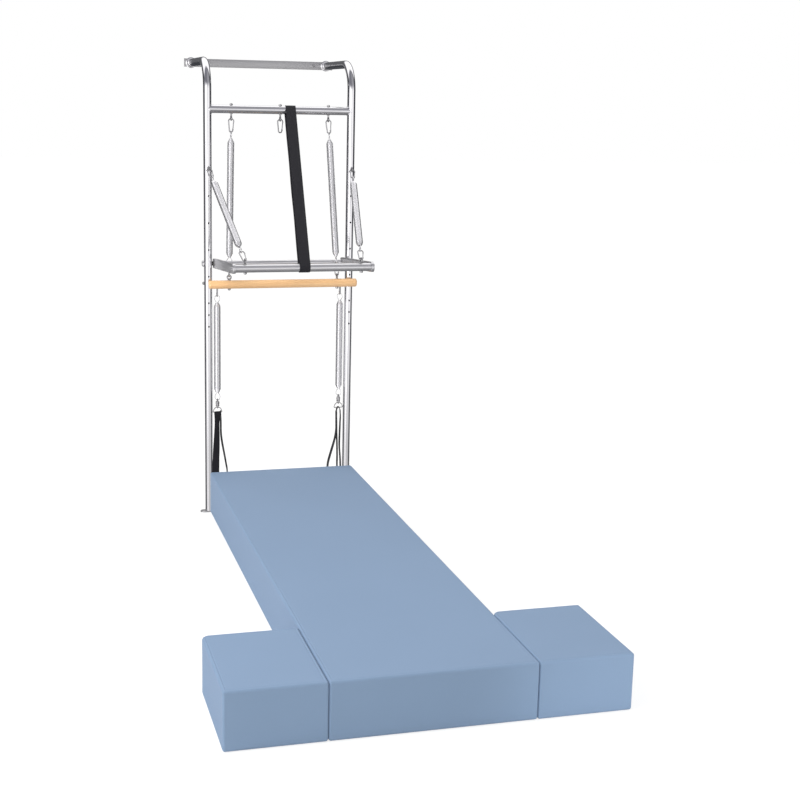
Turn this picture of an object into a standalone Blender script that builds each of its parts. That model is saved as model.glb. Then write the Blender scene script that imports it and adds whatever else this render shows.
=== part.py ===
"""A wall-mounted spring exercise unit with a raised mat and two side blocks, in metres.

+Z is up, +Y points to the wall and +X runs along it. The origin is on the floor, under the
middle of the whole unit. The rack's own sizes are given from the middle between its posts.
"""

import math

import bmesh
import bpy
import numpy as np
from mathutils import Matrix, Vector

# Place of the rack's middle from the origin
RACK_X = -0.0125
RACK_Y = 1.000

# Steel tube frame
TUBE_DIAMETER = 0.038
TUBE_WALL = 0.002
POST_SPACING = 0.690
ARM_HEIGHT = 2.166
BEND_RADIUS = 0.127
WALL_DISTANCE = 0.550
SEAM_HEIGHT = 1.788
COLLAR_HEIGHT = 0.012
SPIGOT_LENGTH = 0.025
SPIGOT_SLACK = 0.0010
CROSSBAR_HEIGHT = 1.946
RAIL_LENGTH = 0.758
RAIL_HEIGHT = 0.040
RAIL_THICKNESS = 0.006
RAIL_SCREW_SPREAD = 0.280
RAIL_SCREW_DIAMETER = 0.014
RAIL_SCREW_PROUD = 0.004
FLANGE_DIAMETER = 0.062
FLANGE_THICKNESS = 0.005
FOOT_THICKNESS = 0.005
FOOT_REACH = 0.043
FOOT_WIDTH = 0.038
FOOT_SCREW_REACH = 0.031
FOOT_SCREW_DIAMETER = 0.007

# Rows of holes in the posts
HOLE_DIAMETER = 0.0086
TOP_HOLE_HEIGHT = 1.672
HOLE_PITCH = 0.127
HOLE_COUNT = 6
CLOSE_PITCH = 0.057
CLOSE_COUNT = 2

# Eyebolts and their nuts
EYE_RADIUS = 0.009
EYE_WIRE = 0.007
SHANK_DIAMETER = 0.008
COLLAR_DIAMETER = 0.014
COLLAR_THICKNESS = 0.002
NUT_WIDTH = 0.013
NUT_THICKNESS = 0.0065
SHANK_PROUD = 0.0015
SHORT_NECK = 0.014
LONG_NECK = 0.022
LEG_NECK = 0.024
CROSSBAR_EYE_SPREAD = 0.233
LEG_EYE_HEIGHT = 1.131

# Push-through bar, raised a little at rest
PIVOT_ABOVE_LEG_EYE = 0.094
PIVOT_HEIGHT = LEG_EYE_HEIGHT + PIVOT_ABOVE_LEG_EYE
PIVOT_TUBE_DIAMETER = 0.025
PIVOT_TUBE_WALL = 0.002
PIVOT_BOLT_DIAMETER = 0.012
PIVOT_HEAD_DIAMETER = 0.030
PIVOT_HEAD_HEIGHT = 0.010
PIVOT_BOLT_ENTRY = 0.016
SPACER_DIAMETER = 0.020
SPACER_LENGTH = 0.006
PUSH_REACH = 0.5515
PUSH_TILT = math.radians(4.3)
PLATE_HEIGHT = 0.045
PLATE_THICKNESS = 0.014
HANDLE_DIAMETER = 0.036
HANDLE_WALL = 0.002
HANDLE_PLUG = 0.010
HANDLE_EYE_SPREAD = 0.263
END_BOLT_DIAMETER = 0.008
END_BOLT_HEAD = 0.016
END_BOLT_HEAD_HEIGHT = 0.005
END_BOLT_CROWN = 0.0044
END_BOLT_CROWN_DROP = 0.0005
END_BOLT_RIM = 0.00175

# Roll-down bar, hung on the long springs and leaning on the posts
BAR_DIAMETER = 0.040
BAR_LENGTH = 0.722
BAR_BELOW_LEG_EYE = 0.003
BAR_HEIGHT = LEG_EYE_HEIGHT - BAR_BELOW_LEG_EYE
BAR_OFFSET = 0.0135
BAR_EYE_SPREAD = 0.2635
BAR_END_ROUND = 0.007

# Spring wire, its coil and its end loops
SPRING_WIRE = 0.004
SPRING_DIAMETER = 0.033
CURLS = 8
CURL_POINTS = 8
CONE_LENGTH = 0.022
LOOP_WIDTH = 0.025
LOOP_LENGTH = 0.033
LOOP_POINTS = 11
LOOP_OPEN = math.radians(25.0)
SLANTED_LOOP_TURN = math.radians(72.0)

# Carabiners, snap hooks and D-rings, measured on the centre line of their wire
CARABINER_WIRE = 0.0055
CARABINER_LENGTH = 0.0615
CARABINER_WIDE = 0.012
CARABINER_NARROW = 0.008
SNAP_WIRE = 0.005
SNAP_LENGTH = 0.045
SNAP_WIDE = 0.009
SNAP_NARROW = 0.0065
RING_WIRE = 0.0045
RING_WIDTH = 0.042
RING_HEIGHT = 0.025
RING_BAR_SHARE = 0.9
RING_OVERLAP = 0.15

# Springs that hang beside the posts, with foot straps
LEG_COIL_LENGTH = 0.447
STRAP_WIDTH = 0.035
STRAP_THICKNESS = 0.0025
STRAP_BOTTOM = 0.140
STRAP_FOLD_RADIUS = 0.012

# Safety strap round the crossbar and the push-through bar
SAFETY_WIDTH = 0.048
SAFETY_THICKNESS = 0.0025
SAFETY_TOP_X = 0.047
SAFETY_BOTTOM_X = 0.003

# Raised mat and side blocks
MAT_WIDTH = 0.711
MAT_LENGTH = 2.530
MAT_HEIGHT = 0.205
MAT_ROUND = 0.010
MAT_CROWN = 0.004
MAT_DRAW_IN = 0.0025
MAT_PATCHES = (4, 8)
BLOCK_WIDTH = 0.3388
BLOCK_LENGTH = 0.470
BLOCK_HEIGHT = 0.205
BLOCK_PATCHES = (3, 4)
SIDE_SHARE = 0.9

# Clearances
GAP = 0.0003
CUSHION_GAP = 0.0005
CUT_OVERRUN = 0.010

# Facet counts and the angle of a sharp edge
TUBE_SIDES = 20
BEND_STEPS = 7
HOLE_SIDES = 8
BOLT_SIDES = 12
RING_STEPS = 10
ARC_STEPS = 7
CORNER_STEPS = 4
TUBE_LEVEL = 5
WIRE_LEVEL = 1
SHARP_ANGLE = math.radians(35.0)

# Looks: base colour, metallic, roughness
POLISHED_STEEL = ((0.62, 0.62, 0.65), 1.0, 0.12)
GREY_STEEL = ((0.35, 0.35, 0.38), 1.0, 0.35)
SATIN_STEEL = ((0.48, 0.48, 0.50), 1.0, 0.30)
ZINC = ((0.66, 0.67, 0.70), 1.0, 0.25)
DARK_PLASTIC = ((0.03, 0.03, 0.035), 0.0, 0.45)
MAPLE = ((0.78, 0.53, 0.30), 0.0, 0.40)
BLACK_WEBBING = ((0.025, 0.025, 0.035), 0.0, 0.85)
BLUE_VINYL = ((0.27, 0.39, 0.54), 0.0, 0.50)

TUBE_RADIUS = TUBE_DIAMETER / 2
POST_X = POST_SPACING / 2
SIDES = {"left": -1, "right": 1}
QUARTER = math.pi / 2


def collection(name):
    group = bpy.data.collections.new(name)
    bpy.context.scene.collection.children.link(group)
    return group


for old in list(bpy.data.objects):
    bpy.data.objects.remove(old, do_unlink=True)
PARTS = collection("wall_unit")
CUTTERS = collection("cutters")


# Placing

def on_rack(x, y, z):
    """A world point from one measured from the middle between the posts' feet."""
    return Vector((RACK_X + x, RACK_Y + y, z))


def frame_of(origin, z_axis, x_hint, turn=0.0):
    """World matrix at a point, with its Z axis given and its X axis near a hint."""
    z_axis = Vector(z_axis).normalized()
    x_axis = Vector(x_hint)
    x_axis = (x_axis - x_axis.dot(z_axis) * z_axis).normalized()
    y_axis = z_axis.cross(x_axis)
    frame = Matrix((x_axis, y_axis, z_axis)).transposed().to_4x4()
    return Matrix.Translation(origin) @ frame @ Matrix.Rotation(turn, 4, "Z")


def along_x(origin):
    return frame_of(origin, (1, 0, 0), (0, 1, 0))


def along_z(origin):
    return frame_of(origin, (0, 0, 1), (1, 0, 0))


def hinge(name, origin, tilt=0.0):
    """An empty on a joint's axis, which runs along X."""
    pivot = bpy.data.objects.new(name, None)
    pivot.empty_display_size = 0.05
    pivot.matrix_world = Matrix.Translation(origin) @ Matrix.Rotation(tilt, 4, "X")
    PARTS.objects.link(pivot)
    bpy.context.view_layer.update()
    return pivot


def finish(name, color, metallic, roughness):
    material = bpy.data.materials.new(name)
    material.use_nodes = True
    shader = material.node_tree.nodes["Principled BSDF"]
    shader.inputs["Base Color"].default_value = (*color, 1.0)
    shader.inputs["Metallic"].default_value = metallic
    shader.inputs["Roughness"].default_value = roughness
    return material


def add_part(name, mesh, matrix, look, pivot=None):
    """One named piece, with a material of its own, carried by its joint's empty if it moves."""
    part = bpy.data.objects.new(name, mesh)
    PARTS.objects.link(part)
    if not mesh.materials:
        mesh.materials.append(None)
    part.material_slots[0].link = "OBJECT"
    part.material_slots[0].material = finish(name, *look)
    mesh.shade_smooth()
    mesh.set_sharp_from_angle(angle=SHARP_ANGLE)
    if pivot:
        part.parent = pivot
        part.matrix_parent_inverse = pivot.matrix_world.inverted()
    part.matrix_basis = matrix
    return part


# Shapes

def shape(data, matrix=None):
    """A helper object for cutting or joining, kept out of the model."""
    helper = bpy.data.objects.new("shape", data)
    helper.matrix_world = matrix or Matrix()
    helper.hide_render = True
    helper.display_type = "WIRE"
    CUTTERS.objects.link(helper)
    return helper


def rod(radius, start, end, sides):
    """A solid cylinder along Z between two heights."""
    mesh = bpy.data.meshes.new("rod")
    body = bmesh.new()
    bmesh.ops.create_cone(
        body,
        cap_ends=True,
        segments=sides,
        radius1=radius,
        radius2=radius,
        depth=end - start,
        matrix=Matrix.Translation((0, 0, (start + end) / 2)),
    )
    body.to_mesh(mesh)
    body.free()
    return mesh


def drills(radius, length, centres, direction, sides=HOLE_SIDES):
    """One cutter with a cylinder at each centre, all along one direction."""
    mesh = bpy.data.meshes.new("drills")
    body = bmesh.new()
    for centre in centres:
        bmesh.ops.create_cone(
            body,
            cap_ends=True,
            segments=sides,
            radius1=radius,
            radius2=radius,
            depth=length,
            matrix=frame_of(centre, direction, (direction[1], direction[2], direction[0])),
        )
    body.to_mesh(mesh)
    body.free()
    return shape(mesh)


def turned(profile, steps, closed=False):
    """A profile of radius and height, running down its outer side, turned about Z."""
    mesh = bpy.data.meshes.new("turned")
    count = len(profile)
    edges = [(i, (i + 1) % count) for i in range(count if closed else count - 1)]
    mesh.from_pydata([(radius, 0, height) for radius, height in profile], edges, [])
    helper = shape(mesh)
    screw = helper.modifiers.new("turn", "SCREW")
    screw.axis = "Z"
    screw.steps = steps
    screw.render_steps = steps
    screw.use_merge_vertices = True
    screw.merge_threshold = 0.00001
    screw.use_smooth_shade = True
    return helper


def pipe(radius, wall, start, end, sides=TUBE_SIDES):
    """A tube along Z that is open at both ends."""
    bore = radius - wall
    return turned([(radius, end), (radius, start), (bore, start), (bore, end)], sides, True)


def swept(points, diameter, level, cyclic=False):
    """A round bar along a centre line of points."""
    curve = bpy.data.curves.new("swept", "CURVE")
    curve.dimensions = "3D"
    curve.bevel_depth = diameter / 2
    curve.bevel_resolution = level
    curve.use_fill_caps = not cyclic
    line = curve.splines.new("POLY")
    line.points.add(len(points) - 1)
    for point, place in zip(line.points, points):
        point.co = (*place, 1.0)
    line.use_cyclic_u = cyclic
    return shape(curve)


def flat(outline, holes, thickness):
    """A plate in the XY plane with round holes, centred on its thickness."""
    curve = bpy.data.curves.new("flat", "CURVE")
    curve.dimensions = "2D"
    curve.fill_mode = "BOTH"
    curve.extrude = thickness / 2
    rings = [outline]
    for x, y, radius in holes:
        rings.append(arc(x, y, radius, 0, 2 * math.pi, BOLT_SIDES + 1)[:-1])
    for ring in rings:
        line = curve.splines.new("POLY")
        line.points.add(len(ring) - 1)
        for point, (x, y) in zip(line.points, ring):
            point.co = (x, y, 0, 1)
        line.use_cyclic_u = True
    return shape(curve)


def arc(x, y, radius, start, end, count):
    """Points on a circle between two angles, both ends included."""
    angles = np.linspace(start, end, count)
    return [(x + radius * math.cos(a), y + radius * math.sin(a)) for a in angles]


def baked(helper):
    """The mesh of a helper object as evaluated, its loose caps welded, and the helper removed."""
    graph = bpy.context.evaluated_depsgraph_get()
    graph.update()
    mesh = bpy.data.meshes.new_from_object(helper.evaluated_get(graph))
    body = bmesh.new()
    body.from_mesh(mesh)
    body.transform(helper.matrix_world)
    bmesh.ops.remove_doubles(body, verts=body.verts, dist=0.000001)
    body.to_mesh(mesh)
    body.free()
    bpy.data.objects.remove(helper, do_unlink=True)
    return mesh


def combined(base, joined=(), cut=()):
    """One mesh from a base shape with others joined to it and cut out of it."""
    base = shape(baked(base))
    tools = [("UNION", tool) for tool in joined] + [("DIFFERENCE", tool) for tool in cut]
    meshed = [(way, shape(baked(tool))) for way, tool in tools]
    for way, tool in meshed:
        step = base.modifiers.new(way.lower(), "BOOLEAN")
        step.operation = way
        step.object = tool
    mesh = baked(base)
    for _, tool in meshed:
        bpy.data.objects.remove(tool, do_unlink=True)
    return mesh


# Tube frame

def hole_heights():
    """Heights of the holes through a post from front to back."""
    row = [TOP_HOLE_HEIGHT - HOLE_PITCH * i for i in range(HOLE_COUNT)]
    return row + [row[-1] - CLOSE_PITCH * (i + 1) for i in range(CLOSE_COUNT)]


def lower_post_mesh():
    """A straight tube, drilled from front to back, and from side to side at the pivot and the leg eye."""
    start = FOOT_THICKNESS + GAP
    end = SEAM_HEIGHT - COLLAR_HEIGHT / 2 - GAP
    through = 2 * TUBE_DIAMETER
    rows = drills(HOLE_DIAMETER / 2, through, [(0, 0, z) for z in hole_heights()], (0, 1, 0))
    leg = drills(HOLE_DIAMETER / 2, through, [(0, 0, LEG_EYE_HEIGHT)], (1, 0, 0))
    pivot = drills(PIVOT_BOLT_DIAMETER / 2 + GAP, through, [(0, 0, PIVOT_HEIGHT)], (1, 0, 0), BOLT_SIDES)
    return combined(pipe(TUBE_RADIUS, TUBE_WALL, start, end), cut=(rows, leg, pivot))


def upper_post_line(reach):
    """Centre line of an upper post: up from the seam, round the bend and back to the wall."""
    bend = arc(BEND_RADIUS, ARM_HEIGHT - BEND_RADIUS, BEND_RADIUS, math.pi, math.pi / 2, BEND_STEPS)
    start = SEAM_HEIGHT + COLLAR_HEIGHT / 2 + GAP - reach
    end = WALL_DISTANCE - RAIL_THICKNESS - GAP + reach
    return [(0, 0, start)] + [(0, y, z) for y, z in bend] + [(0, end, ARM_HEIGHT)]


def upper_post_mesh():
    """The bent tube with its flange at the wall."""
    outside = swept(upper_post_line(0), TUBE_DIAMETER, TUBE_LEVEL)
    bore = swept(upper_post_line(CUT_OVERRUN), TUBE_DIAMETER - 2 * TUBE_WALL, TUBE_LEVEL)
    face = WALL_DISTANCE - RAIL_THICKNESS - GAP
    flange = pipe(FLANGE_DIAMETER / 2, FLANGE_DIAMETER / 2 - TUBE_RADIUS + TUBE_WALL, -FLANGE_THICKNESS, 0)
    flange.matrix_world = frame_of((0, face, ARM_HEIGHT), (0, 1, 0), (1, 0, 0))
    bpy.context.view_layer.update()
    return combined(outside, joined=(flange,), cut=(bore,))


def coupling_mesh():
    """A collar level with the tubes, with a spigot up and down inside them."""
    spigot = TUBE_RADIUS - TUBE_WALL - SPIGOT_SLACK
    collar = COLLAR_HEIGHT / 2
    end = collar + SPIGOT_LENGTH
    half = [(0, end), (spigot, end), (spigot, collar), (TUBE_RADIUS, collar)]
    return baked(turned(half + [(radius, -height) for radius, height in reversed(half)], TUBE_SIDES))


def foot_mesh():
    """A tab under the post with a round outer end and one screw hole."""
    radius = FOOT_WIDTH / 2
    outer = arc(FOOT_REACH - radius, 0, radius, -math.pi / 2, math.pi / 2, ARC_STEPS)
    inner = arc(0, 0, radius, math.pi / 2, 3 * math.pi / 2, ARC_STEPS)
    return baked(flat(outer + inner, [(FOOT_SCREW_REACH, 0, FOOT_SCREW_DIAMETER / 2)], FOOT_THICKNESS))


def crossbar_mesh():
    """A tube coped to the posts and drilled for three eyebolts, along X."""
    bar = pipe(TUBE_RADIUS, TUBE_WALL, -POST_X, POST_X)
    bar.matrix_world = along_x((0, 0, 0))
    ends = [(-POST_X, 0, 0), (POST_X, 0, 0)]
    eyes = [(x, 0, 0) for x in (-CROSSBAR_EYE_SPREAD, 0, CROSSBAR_EYE_SPREAD)]
    posts = drills(TUBE_RADIUS + GAP, 3 * TUBE_DIAMETER, ends, (0, 0, 1), TUBE_SIDES)
    rows = drills(HOLE_DIAMETER / 2, 2 * TUBE_DIAMETER, eyes, (0, 0, 1))
    bpy.context.view_layer.update()
    return combined(bar, cut=(posts, rows))


def rail_mesh():
    """A flat bar on the wall with two screw heads in its front."""
    mesh = bpy.data.meshes.new("rail")
    body = bmesh.new()
    size = Matrix.Diagonal((RAIL_LENGTH, RAIL_THICKNESS, RAIL_HEIGHT, 1))
    bmesh.ops.create_cube(body, size=1, matrix=size)
    body.to_mesh(mesh)
    body.free()
    heads = []
    for x in (-RAIL_SCREW_SPREAD, RAIL_SCREW_SPREAD):
        head = shape(rod(RAIL_SCREW_DIAMETER / 2, 0, RAIL_THICKNESS / 2 + RAIL_SCREW_PROUD, BOLT_SIDES))
        head.matrix_world = frame_of((x, 0, 0), (0, -1, 0), (1, 0, 0))
        heads.append(head)
    bpy.context.view_layer.update()
    return combined(shape(mesh), joined=heads)


def build_frame():
    post = lower_post_mesh()
    bent = upper_post_mesh()
    coupling = coupling_mesh()
    foot = foot_mesh()
    for side, sign in SIDES.items():
        x = sign * POST_X
        outward = frame_of(on_rack(x, 0, FOOT_THICKNESS / 2), (0, 0, 1), (sign, 0, 0))
        add_part(f"{side}_lower_post", post, along_z(on_rack(x, 0, 0)), POLISHED_STEEL)
        add_part(f"{side}_upper_post", bent, along_z(on_rack(x, 0, 0)), POLISHED_STEEL)
        add_part(f"{side}_post_coupling", coupling, along_z(on_rack(x, 0, SEAM_HEIGHT)), POLISHED_STEEL)
        add_part(f"{side}_foot_plate", foot, outward, GREY_STEEL)
    rail = on_rack(0, WALL_DISTANCE - RAIL_THICKNESS / 2, ARM_HEIGHT)
    add_part("crossbar", crossbar_mesh(), along_z(on_rack(0, 0, CROSSBAR_HEIGHT)), POLISHED_STEEL)
    add_part("wall_rail", rail_mesh(), along_z(rail), GREY_STEEL)


# Eyebolts

def eyebolt_mesh(neck, grip):
    """An eye at the origin, its shank along Z through a bar of a given thickness, and its nut."""
    corner = EYE_RADIUS / math.cos(math.pi / RING_STEPS)
    circle = arc(0, 0, corner, 0, 2 * math.pi, RING_STEPS + 1)[:-1]
    eye = swept([(x, 0, z) for x, z in circle], EYE_WIRE, WIRE_LEVEL, cyclic=True)
    nut_start = neck + grip + GAP
    nut_end = nut_start + NUT_THICKNESS
    shank = shape(rod(SHANK_DIAMETER / 2, EYE_RADIUS, nut_end + SHANK_PROUD, HOLE_SIDES))
    collar = shape(rod(COLLAR_DIAMETER / 2, neck - GAP - COLLAR_THICKNESS, neck - GAP, HOLE_SIDES))
    nut = shape(rod(NUT_WIDTH / math.sqrt(3), nut_start, nut_end, 6))
    return combined(eye, joined=(shank, collar, nut))


def crossbar_eye(x):
    return on_rack(x, 0, CROSSBAR_HEIGHT - TUBE_RADIUS - LONG_NECK)


def front_eye(sign):
    return on_rack(sign * POST_X, -TUBE_RADIUS - SHORT_NECK, TOP_HOLE_HEIGHT)


def leg_eye(sign):
    return on_rack(sign * (POST_X - TUBE_RADIUS - LEG_NECK), 0, LEG_EYE_HEIGHT)


def build_frame_eyebolts():
    hanging = eyebolt_mesh(LONG_NECK, TUBE_DIAMETER)
    close = eyebolt_mesh(SHORT_NECK, TUBE_DIAMETER)
    beside = eyebolt_mesh(LEG_NECK, TUBE_DIAMETER)
    for name, x in (("left", -CROSSBAR_EYE_SPREAD), ("centre", 0), ("right", CROSSBAR_EYE_SPREAD)):
        place = frame_of(crossbar_eye(x), (0, 0, 1), (0, 1, 0))
        add_part(f"{name}_crossbar_eyebolt", hanging, place, ZINC)
    for side, sign in SIDES.items():
        forward = frame_of(front_eye(sign), (0, 1, 0), (0, 0, 1))
        inward = frame_of(leg_eye(sign), (sign, 0, 0), (0, 0, 1))
        add_part(f"{side}_front_eyebolt", close, forward, ZINC)
        add_part(f"{side}_leg_eyebolt", beside, inward, ZINC)


# Push-through bar

PLATE_OUTER = POST_X - TUBE_RADIUS - SPACER_LENGTH
PLATE_INNER = PLATE_OUTER - PLATE_THICKNESS


def pivot_bolt_mesh():
    """A round head outside the post and a shank to the pivot tube, along Z with the head's seat at 0."""
    radius = PIVOT_BOLT_DIAMETER / 2
    depth = TUBE_DIAMETER + SPACER_LENGTH + PLATE_THICKNESS + PIVOT_BOLT_ENTRY
    head = PIVOT_HEAD_DIAMETER / 2
    edge = PIVOT_HEAD_HEIGHT / 4
    profile = [
        (0, PIVOT_HEAD_HEIGHT),
        (head - edge, PIVOT_HEAD_HEIGHT),
        (head, PIVOT_HEAD_HEIGHT - edge),
        (head, GAP),
        (radius, GAP),
        (radius, -depth),
        (0, -depth),
    ]
    return baked(turned(profile, BOLT_SIDES))


def plate_mesh():
    """A side plate in the XY plane, its pivot at the origin and its handle end at -Y."""
    radius = PLATE_HEIGHT / 2
    back = arc(0, 0, radius, 0, math.pi, ARC_STEPS)
    front = arc(0, -PUSH_REACH, radius, math.pi, 2 * math.pi, ARC_STEPS)
    holes = [(0, 0, PIVOT_BOLT_DIAMETER / 2 + GAP), (0, -PUSH_REACH, END_BOLT_DIAMETER / 2 + GAP)]
    return baked(flat(back + front, holes, PLATE_THICKNESS))


def handle_mesh():
    """The gripped tube along Z, plugged at its ends and drilled across for its eyebolts."""
    end = PLATE_INNER - GAP
    plug = end - HANDLE_PLUG
    outer = HANDLE_DIAMETER / 2
    bore = outer - HANDLE_WALL
    tap = END_BOLT_DIAMETER / 2 + GAP
    profile = [
        (outer, end),
        (outer, -end),
        (tap, -end),
        (tap, -plug),
        (bore, -plug),
        (bore, plug),
        (tap, plug),
        (tap, end),
    ]
    eyes = [(0, 0, z) for z in (-HANDLE_EYE_SPREAD, HANDLE_EYE_SPREAD)]
    across = drills(HOLE_DIAMETER / 2, 2 * HANDLE_DIAMETER, eyes, (0, 1, 0))
    return combined(turned(profile, TUBE_SIDES, True), cut=(across,))


def end_bolt_mesh():
    """A button head with its seat at 0 and a shank into the handle's plug, along Z."""
    radius = END_BOLT_DIAMETER / 2
    depth = PLATE_THICKNESS + HANDLE_PLUG
    head = END_BOLT_HEAD / 2
    top = END_BOLT_HEAD_HEIGHT
    crown = [(0, top), (END_BOLT_CROWN, top - END_BOLT_CROWN_DROP), (head, END_BOLT_RIM), (head, GAP)]
    shank = [(radius, GAP), (radius, -depth), (0, -depth)]
    return baked(turned(crown + shank, BOLT_SIDES))


def push_point(x, y, z):
    """A world point from one in the push-through bar's own frame, its pivot at the origin."""
    return PUSH_FRAME @ Vector((x, y, z))


PUSH_FRAME = Matrix.Translation(on_rack(0, 0, PIVOT_HEIGHT)) @ Matrix.Rotation(-PUSH_TILT, 4, "X")
PUSH_UP = PUSH_FRAME.to_3x3() @ Vector((0, 0, 1))
PUSH_BACK = PUSH_FRAME.to_3x3() @ Vector((0, 1, 0))


def handle_eye(sign):
    return push_point(sign * HANDLE_EYE_SPREAD, -PUSH_REACH, HANDLE_DIAMETER / 2 + SHORT_NECK)


def build_push_bar():
    pivot = hinge("push_bar_pivot", on_rack(0, 0, PIVOT_HEIGHT), -PUSH_TILT)
    bolt = pivot_bolt_mesh()
    spacer_wall = (SPACER_DIAMETER - PIVOT_BOLT_DIAMETER) / 2 - GAP
    spacer = baked(pipe(SPACER_DIAMETER / 2, spacer_wall, GAP, SPACER_LENGTH - GAP, BOLT_SIDES))
    plate = plate_mesh()
    end_bolt = end_bolt_mesh()
    eyebolt = eyebolt_mesh(SHORT_NECK, HANDLE_DIAMETER)
    for side, sign in SIDES.items():
        outward = (sign, 0, 0)
        seat = on_rack(sign * (POST_X + TUBE_RADIUS), 0, PIVOT_HEIGHT)
        add_part(f"{side}_pivot_bolt", bolt, frame_of(seat, outward, (0, 0, 1)), SATIN_STEEL)
        seat = on_rack(sign * PLATE_OUTER, 0, PIVOT_HEIGHT)
        add_part(f"{side}_pivot_spacer", spacer, frame_of(seat, outward, (0, 0, 1)), DARK_PLASTIC)
        middle = push_point(sign * (PLATE_INNER + PLATE_THICKNESS / 2), 0, 0)
        upright = frame_of(middle, (1, 0, 0), PUSH_BACK.cross(Vector((1, 0, 0))))
        add_part(f"{side}_push_bar_plate", plate, upright, SATIN_STEEL, pivot)
        seat = push_point(sign * PLATE_OUTER, -PUSH_REACH, 0)
        place = frame_of(seat, outward, PUSH_UP)
        add_part(f"{side}_handle_end_bolt", end_bolt, place, POLISHED_STEEL, pivot)
        place = frame_of(handle_eye(sign), -PUSH_UP, PUSH_BACK)
        add_part(f"{side}_handle_eyebolt", eyebolt, place, ZINC, pivot)
    tube = baked(pipe(PIVOT_TUBE_DIAMETER / 2, PIVOT_TUBE_WALL, GAP - PLATE_INNER, PLATE_INNER - GAP))
    across = frame_of(push_point(0, 0, 0), (1, 0, 0), PUSH_BACK)
    add_part("pivot_tube", tube, across, SATIN_STEEL, pivot)
    across = frame_of(push_point(0, -PUSH_REACH, 0), (1, 0, 0), PUSH_BACK)
    add_part("push_bar_handle", handle_mesh(), across, SATIN_STEEL, pivot)
    return pivot


# Springs and the links that hold them

def hook_offset(eye_radius, eye_wire, link_wire):
    """How far past an eye's centre a hooked link's wire runs."""
    return eye_radius - (eye_wire + link_wire) / 2 - GAP


def loop_points(turn):
    """An end loop that leaves the coil's axis at the origin and rises along Z."""
    angles = np.linspace(LOOP_OPEN, 2 * math.pi - LOOP_OPEN, LOOP_POINTS)
    points = []
    for angle in angles:
        side = LOOP_WIDTH / 2 * math.sin(angle)
        rise = LOOP_LENGTH / 2 * (1 - math.cos(angle))
        points.append((side * math.cos(turn), side * math.sin(turn), rise))
    return points


def spring_line(length, bottom_turn, top_turn):
    """One wire: bottom loop, a coil that tapers at both ends, and top loop."""
    full = (SPRING_DIAMETER - SPRING_WIRE) / 2
    pitch = (length - 2 * CONE_LENGTH) / (CURLS - 2)
    coil = []
    for step in range(CURLS * CURL_POINTS + 1):
        turns = step / CURL_POINTS
        from_end = min(turns, CURLS - turns, 1.0)
        radius = full * from_end**2 * (3 - 2 * from_end)
        height = CONE_LENGTH + (turns - 1) * pitch
        if turns < 1:
            height = CONE_LENGTH * turns
        if turns > CURLS - 1:
            height = length - CONE_LENGTH * (CURLS - turns)
        angle = 2 * math.pi * turns
        coil.append((radius * math.cos(angle), radius * math.sin(angle), height))
    bottom = [(x, y, -z) for x, y, z in reversed(loop_points(bottom_turn))]
    top = [(x, y, length + z) for x, y, z in loop_points(top_turn)]
    return bottom + coil + top


def least_gap(points, wire):
    """Least gap between stretches of one wire that lie more than four wires apart along it."""
    line = np.array(points)
    run = np.concatenate([[0], np.cumsum(np.linalg.norm(np.diff(line, axis=0), axis=1))])
    apart = np.abs(run[:, None] - run[None, :]) > 4 * wire
    between = np.linalg.norm(line[:, None] - line[None, :], axis=2)
    return float(between[apart].min()) - wire


def link_line(length, wide, narrow):
    """A closed link that hangs from the origin, its wide bow at the top."""
    top = arc(0, -wide, wide, 0, math.pi, ARC_STEPS)
    bottom = arc(0, narrow - length, narrow, math.pi, 2 * math.pi, ARC_STEPS)
    return [(x, 0, z) for x, z in top + bottom]


def d_ring_line():
    """A closed ring that hangs from the origin, with a straight bar at its bottom."""
    bow = arc(0, 0, 1, -RING_OVERLAP, math.pi + RING_OVERLAP, RING_STEPS)
    scaled = [(RING_WIDTH / 2 * x, 0, RING_HEIGHT * (max(z, 0) - 1)) for x, z in bow]
    scaled[0] = (RING_BAR_SHARE * scaled[0][0], 0, -RING_HEIGHT)
    scaled[-1] = (RING_BAR_SHARE * scaled[-1][0], 0, -RING_HEIGHT)
    return scaled


def add_spring(name, bottom, top, turns, pivot):
    """A spring between the two ends of its coil, with its loops past them."""
    length = (top - bottom).length
    line = spring_line(length, *turns)
    print(f"{name}: least gap of the wire to itself {least_gap(line, SPRING_WIRE) * 1000:.1f} mm")
    mesh = baked(swept(line, SPRING_WIRE, WIRE_LEVEL))
    add_part(name, mesh, frame_of(bottom, top - bottom, (1, 0, 0)), ZINC, pivot)


LINK = (CARABINER_WIRE + SPRING_WIRE) / 2 + GAP
EYE_HOOK = hook_offset(EYE_RADIUS, EYE_WIRE, CARABINER_WIRE)


def add_chain(spring, eyes, turns, pivots, carabiner):
    """Carabiner, spring and carabiner between an upper and a lower eye, on one straight line."""
    top_eye, bottom_eye = eyes
    down = (bottom_eye - top_eye).normalized()
    first = top_eye + EYE_HOOK * down
    last = bottom_eye - (EYE_HOOK + CARABINER_LENGTH) * down
    coil_top = first + (CARABINER_LENGTH - LINK + LOOP_LENGTH) * down
    coil_bottom = last + (LINK - LOOP_LENGTH) * down
    across = (1, 0, 0)
    place = frame_of(first, -down, across, turns["upper"])
    add_part(f"{spring}_top_carabiner", carabiner, place, ZINC, pivots[0])
    add_spring(spring, coil_bottom, coil_top, (turns["bottom_loop"], turns["top_loop"]), pivots[0])
    place = frame_of(last, -down, across, turns["lower"])
    add_part(f"{spring}_low_carabiner", carabiner, place, ZINC, pivots[1])


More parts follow.
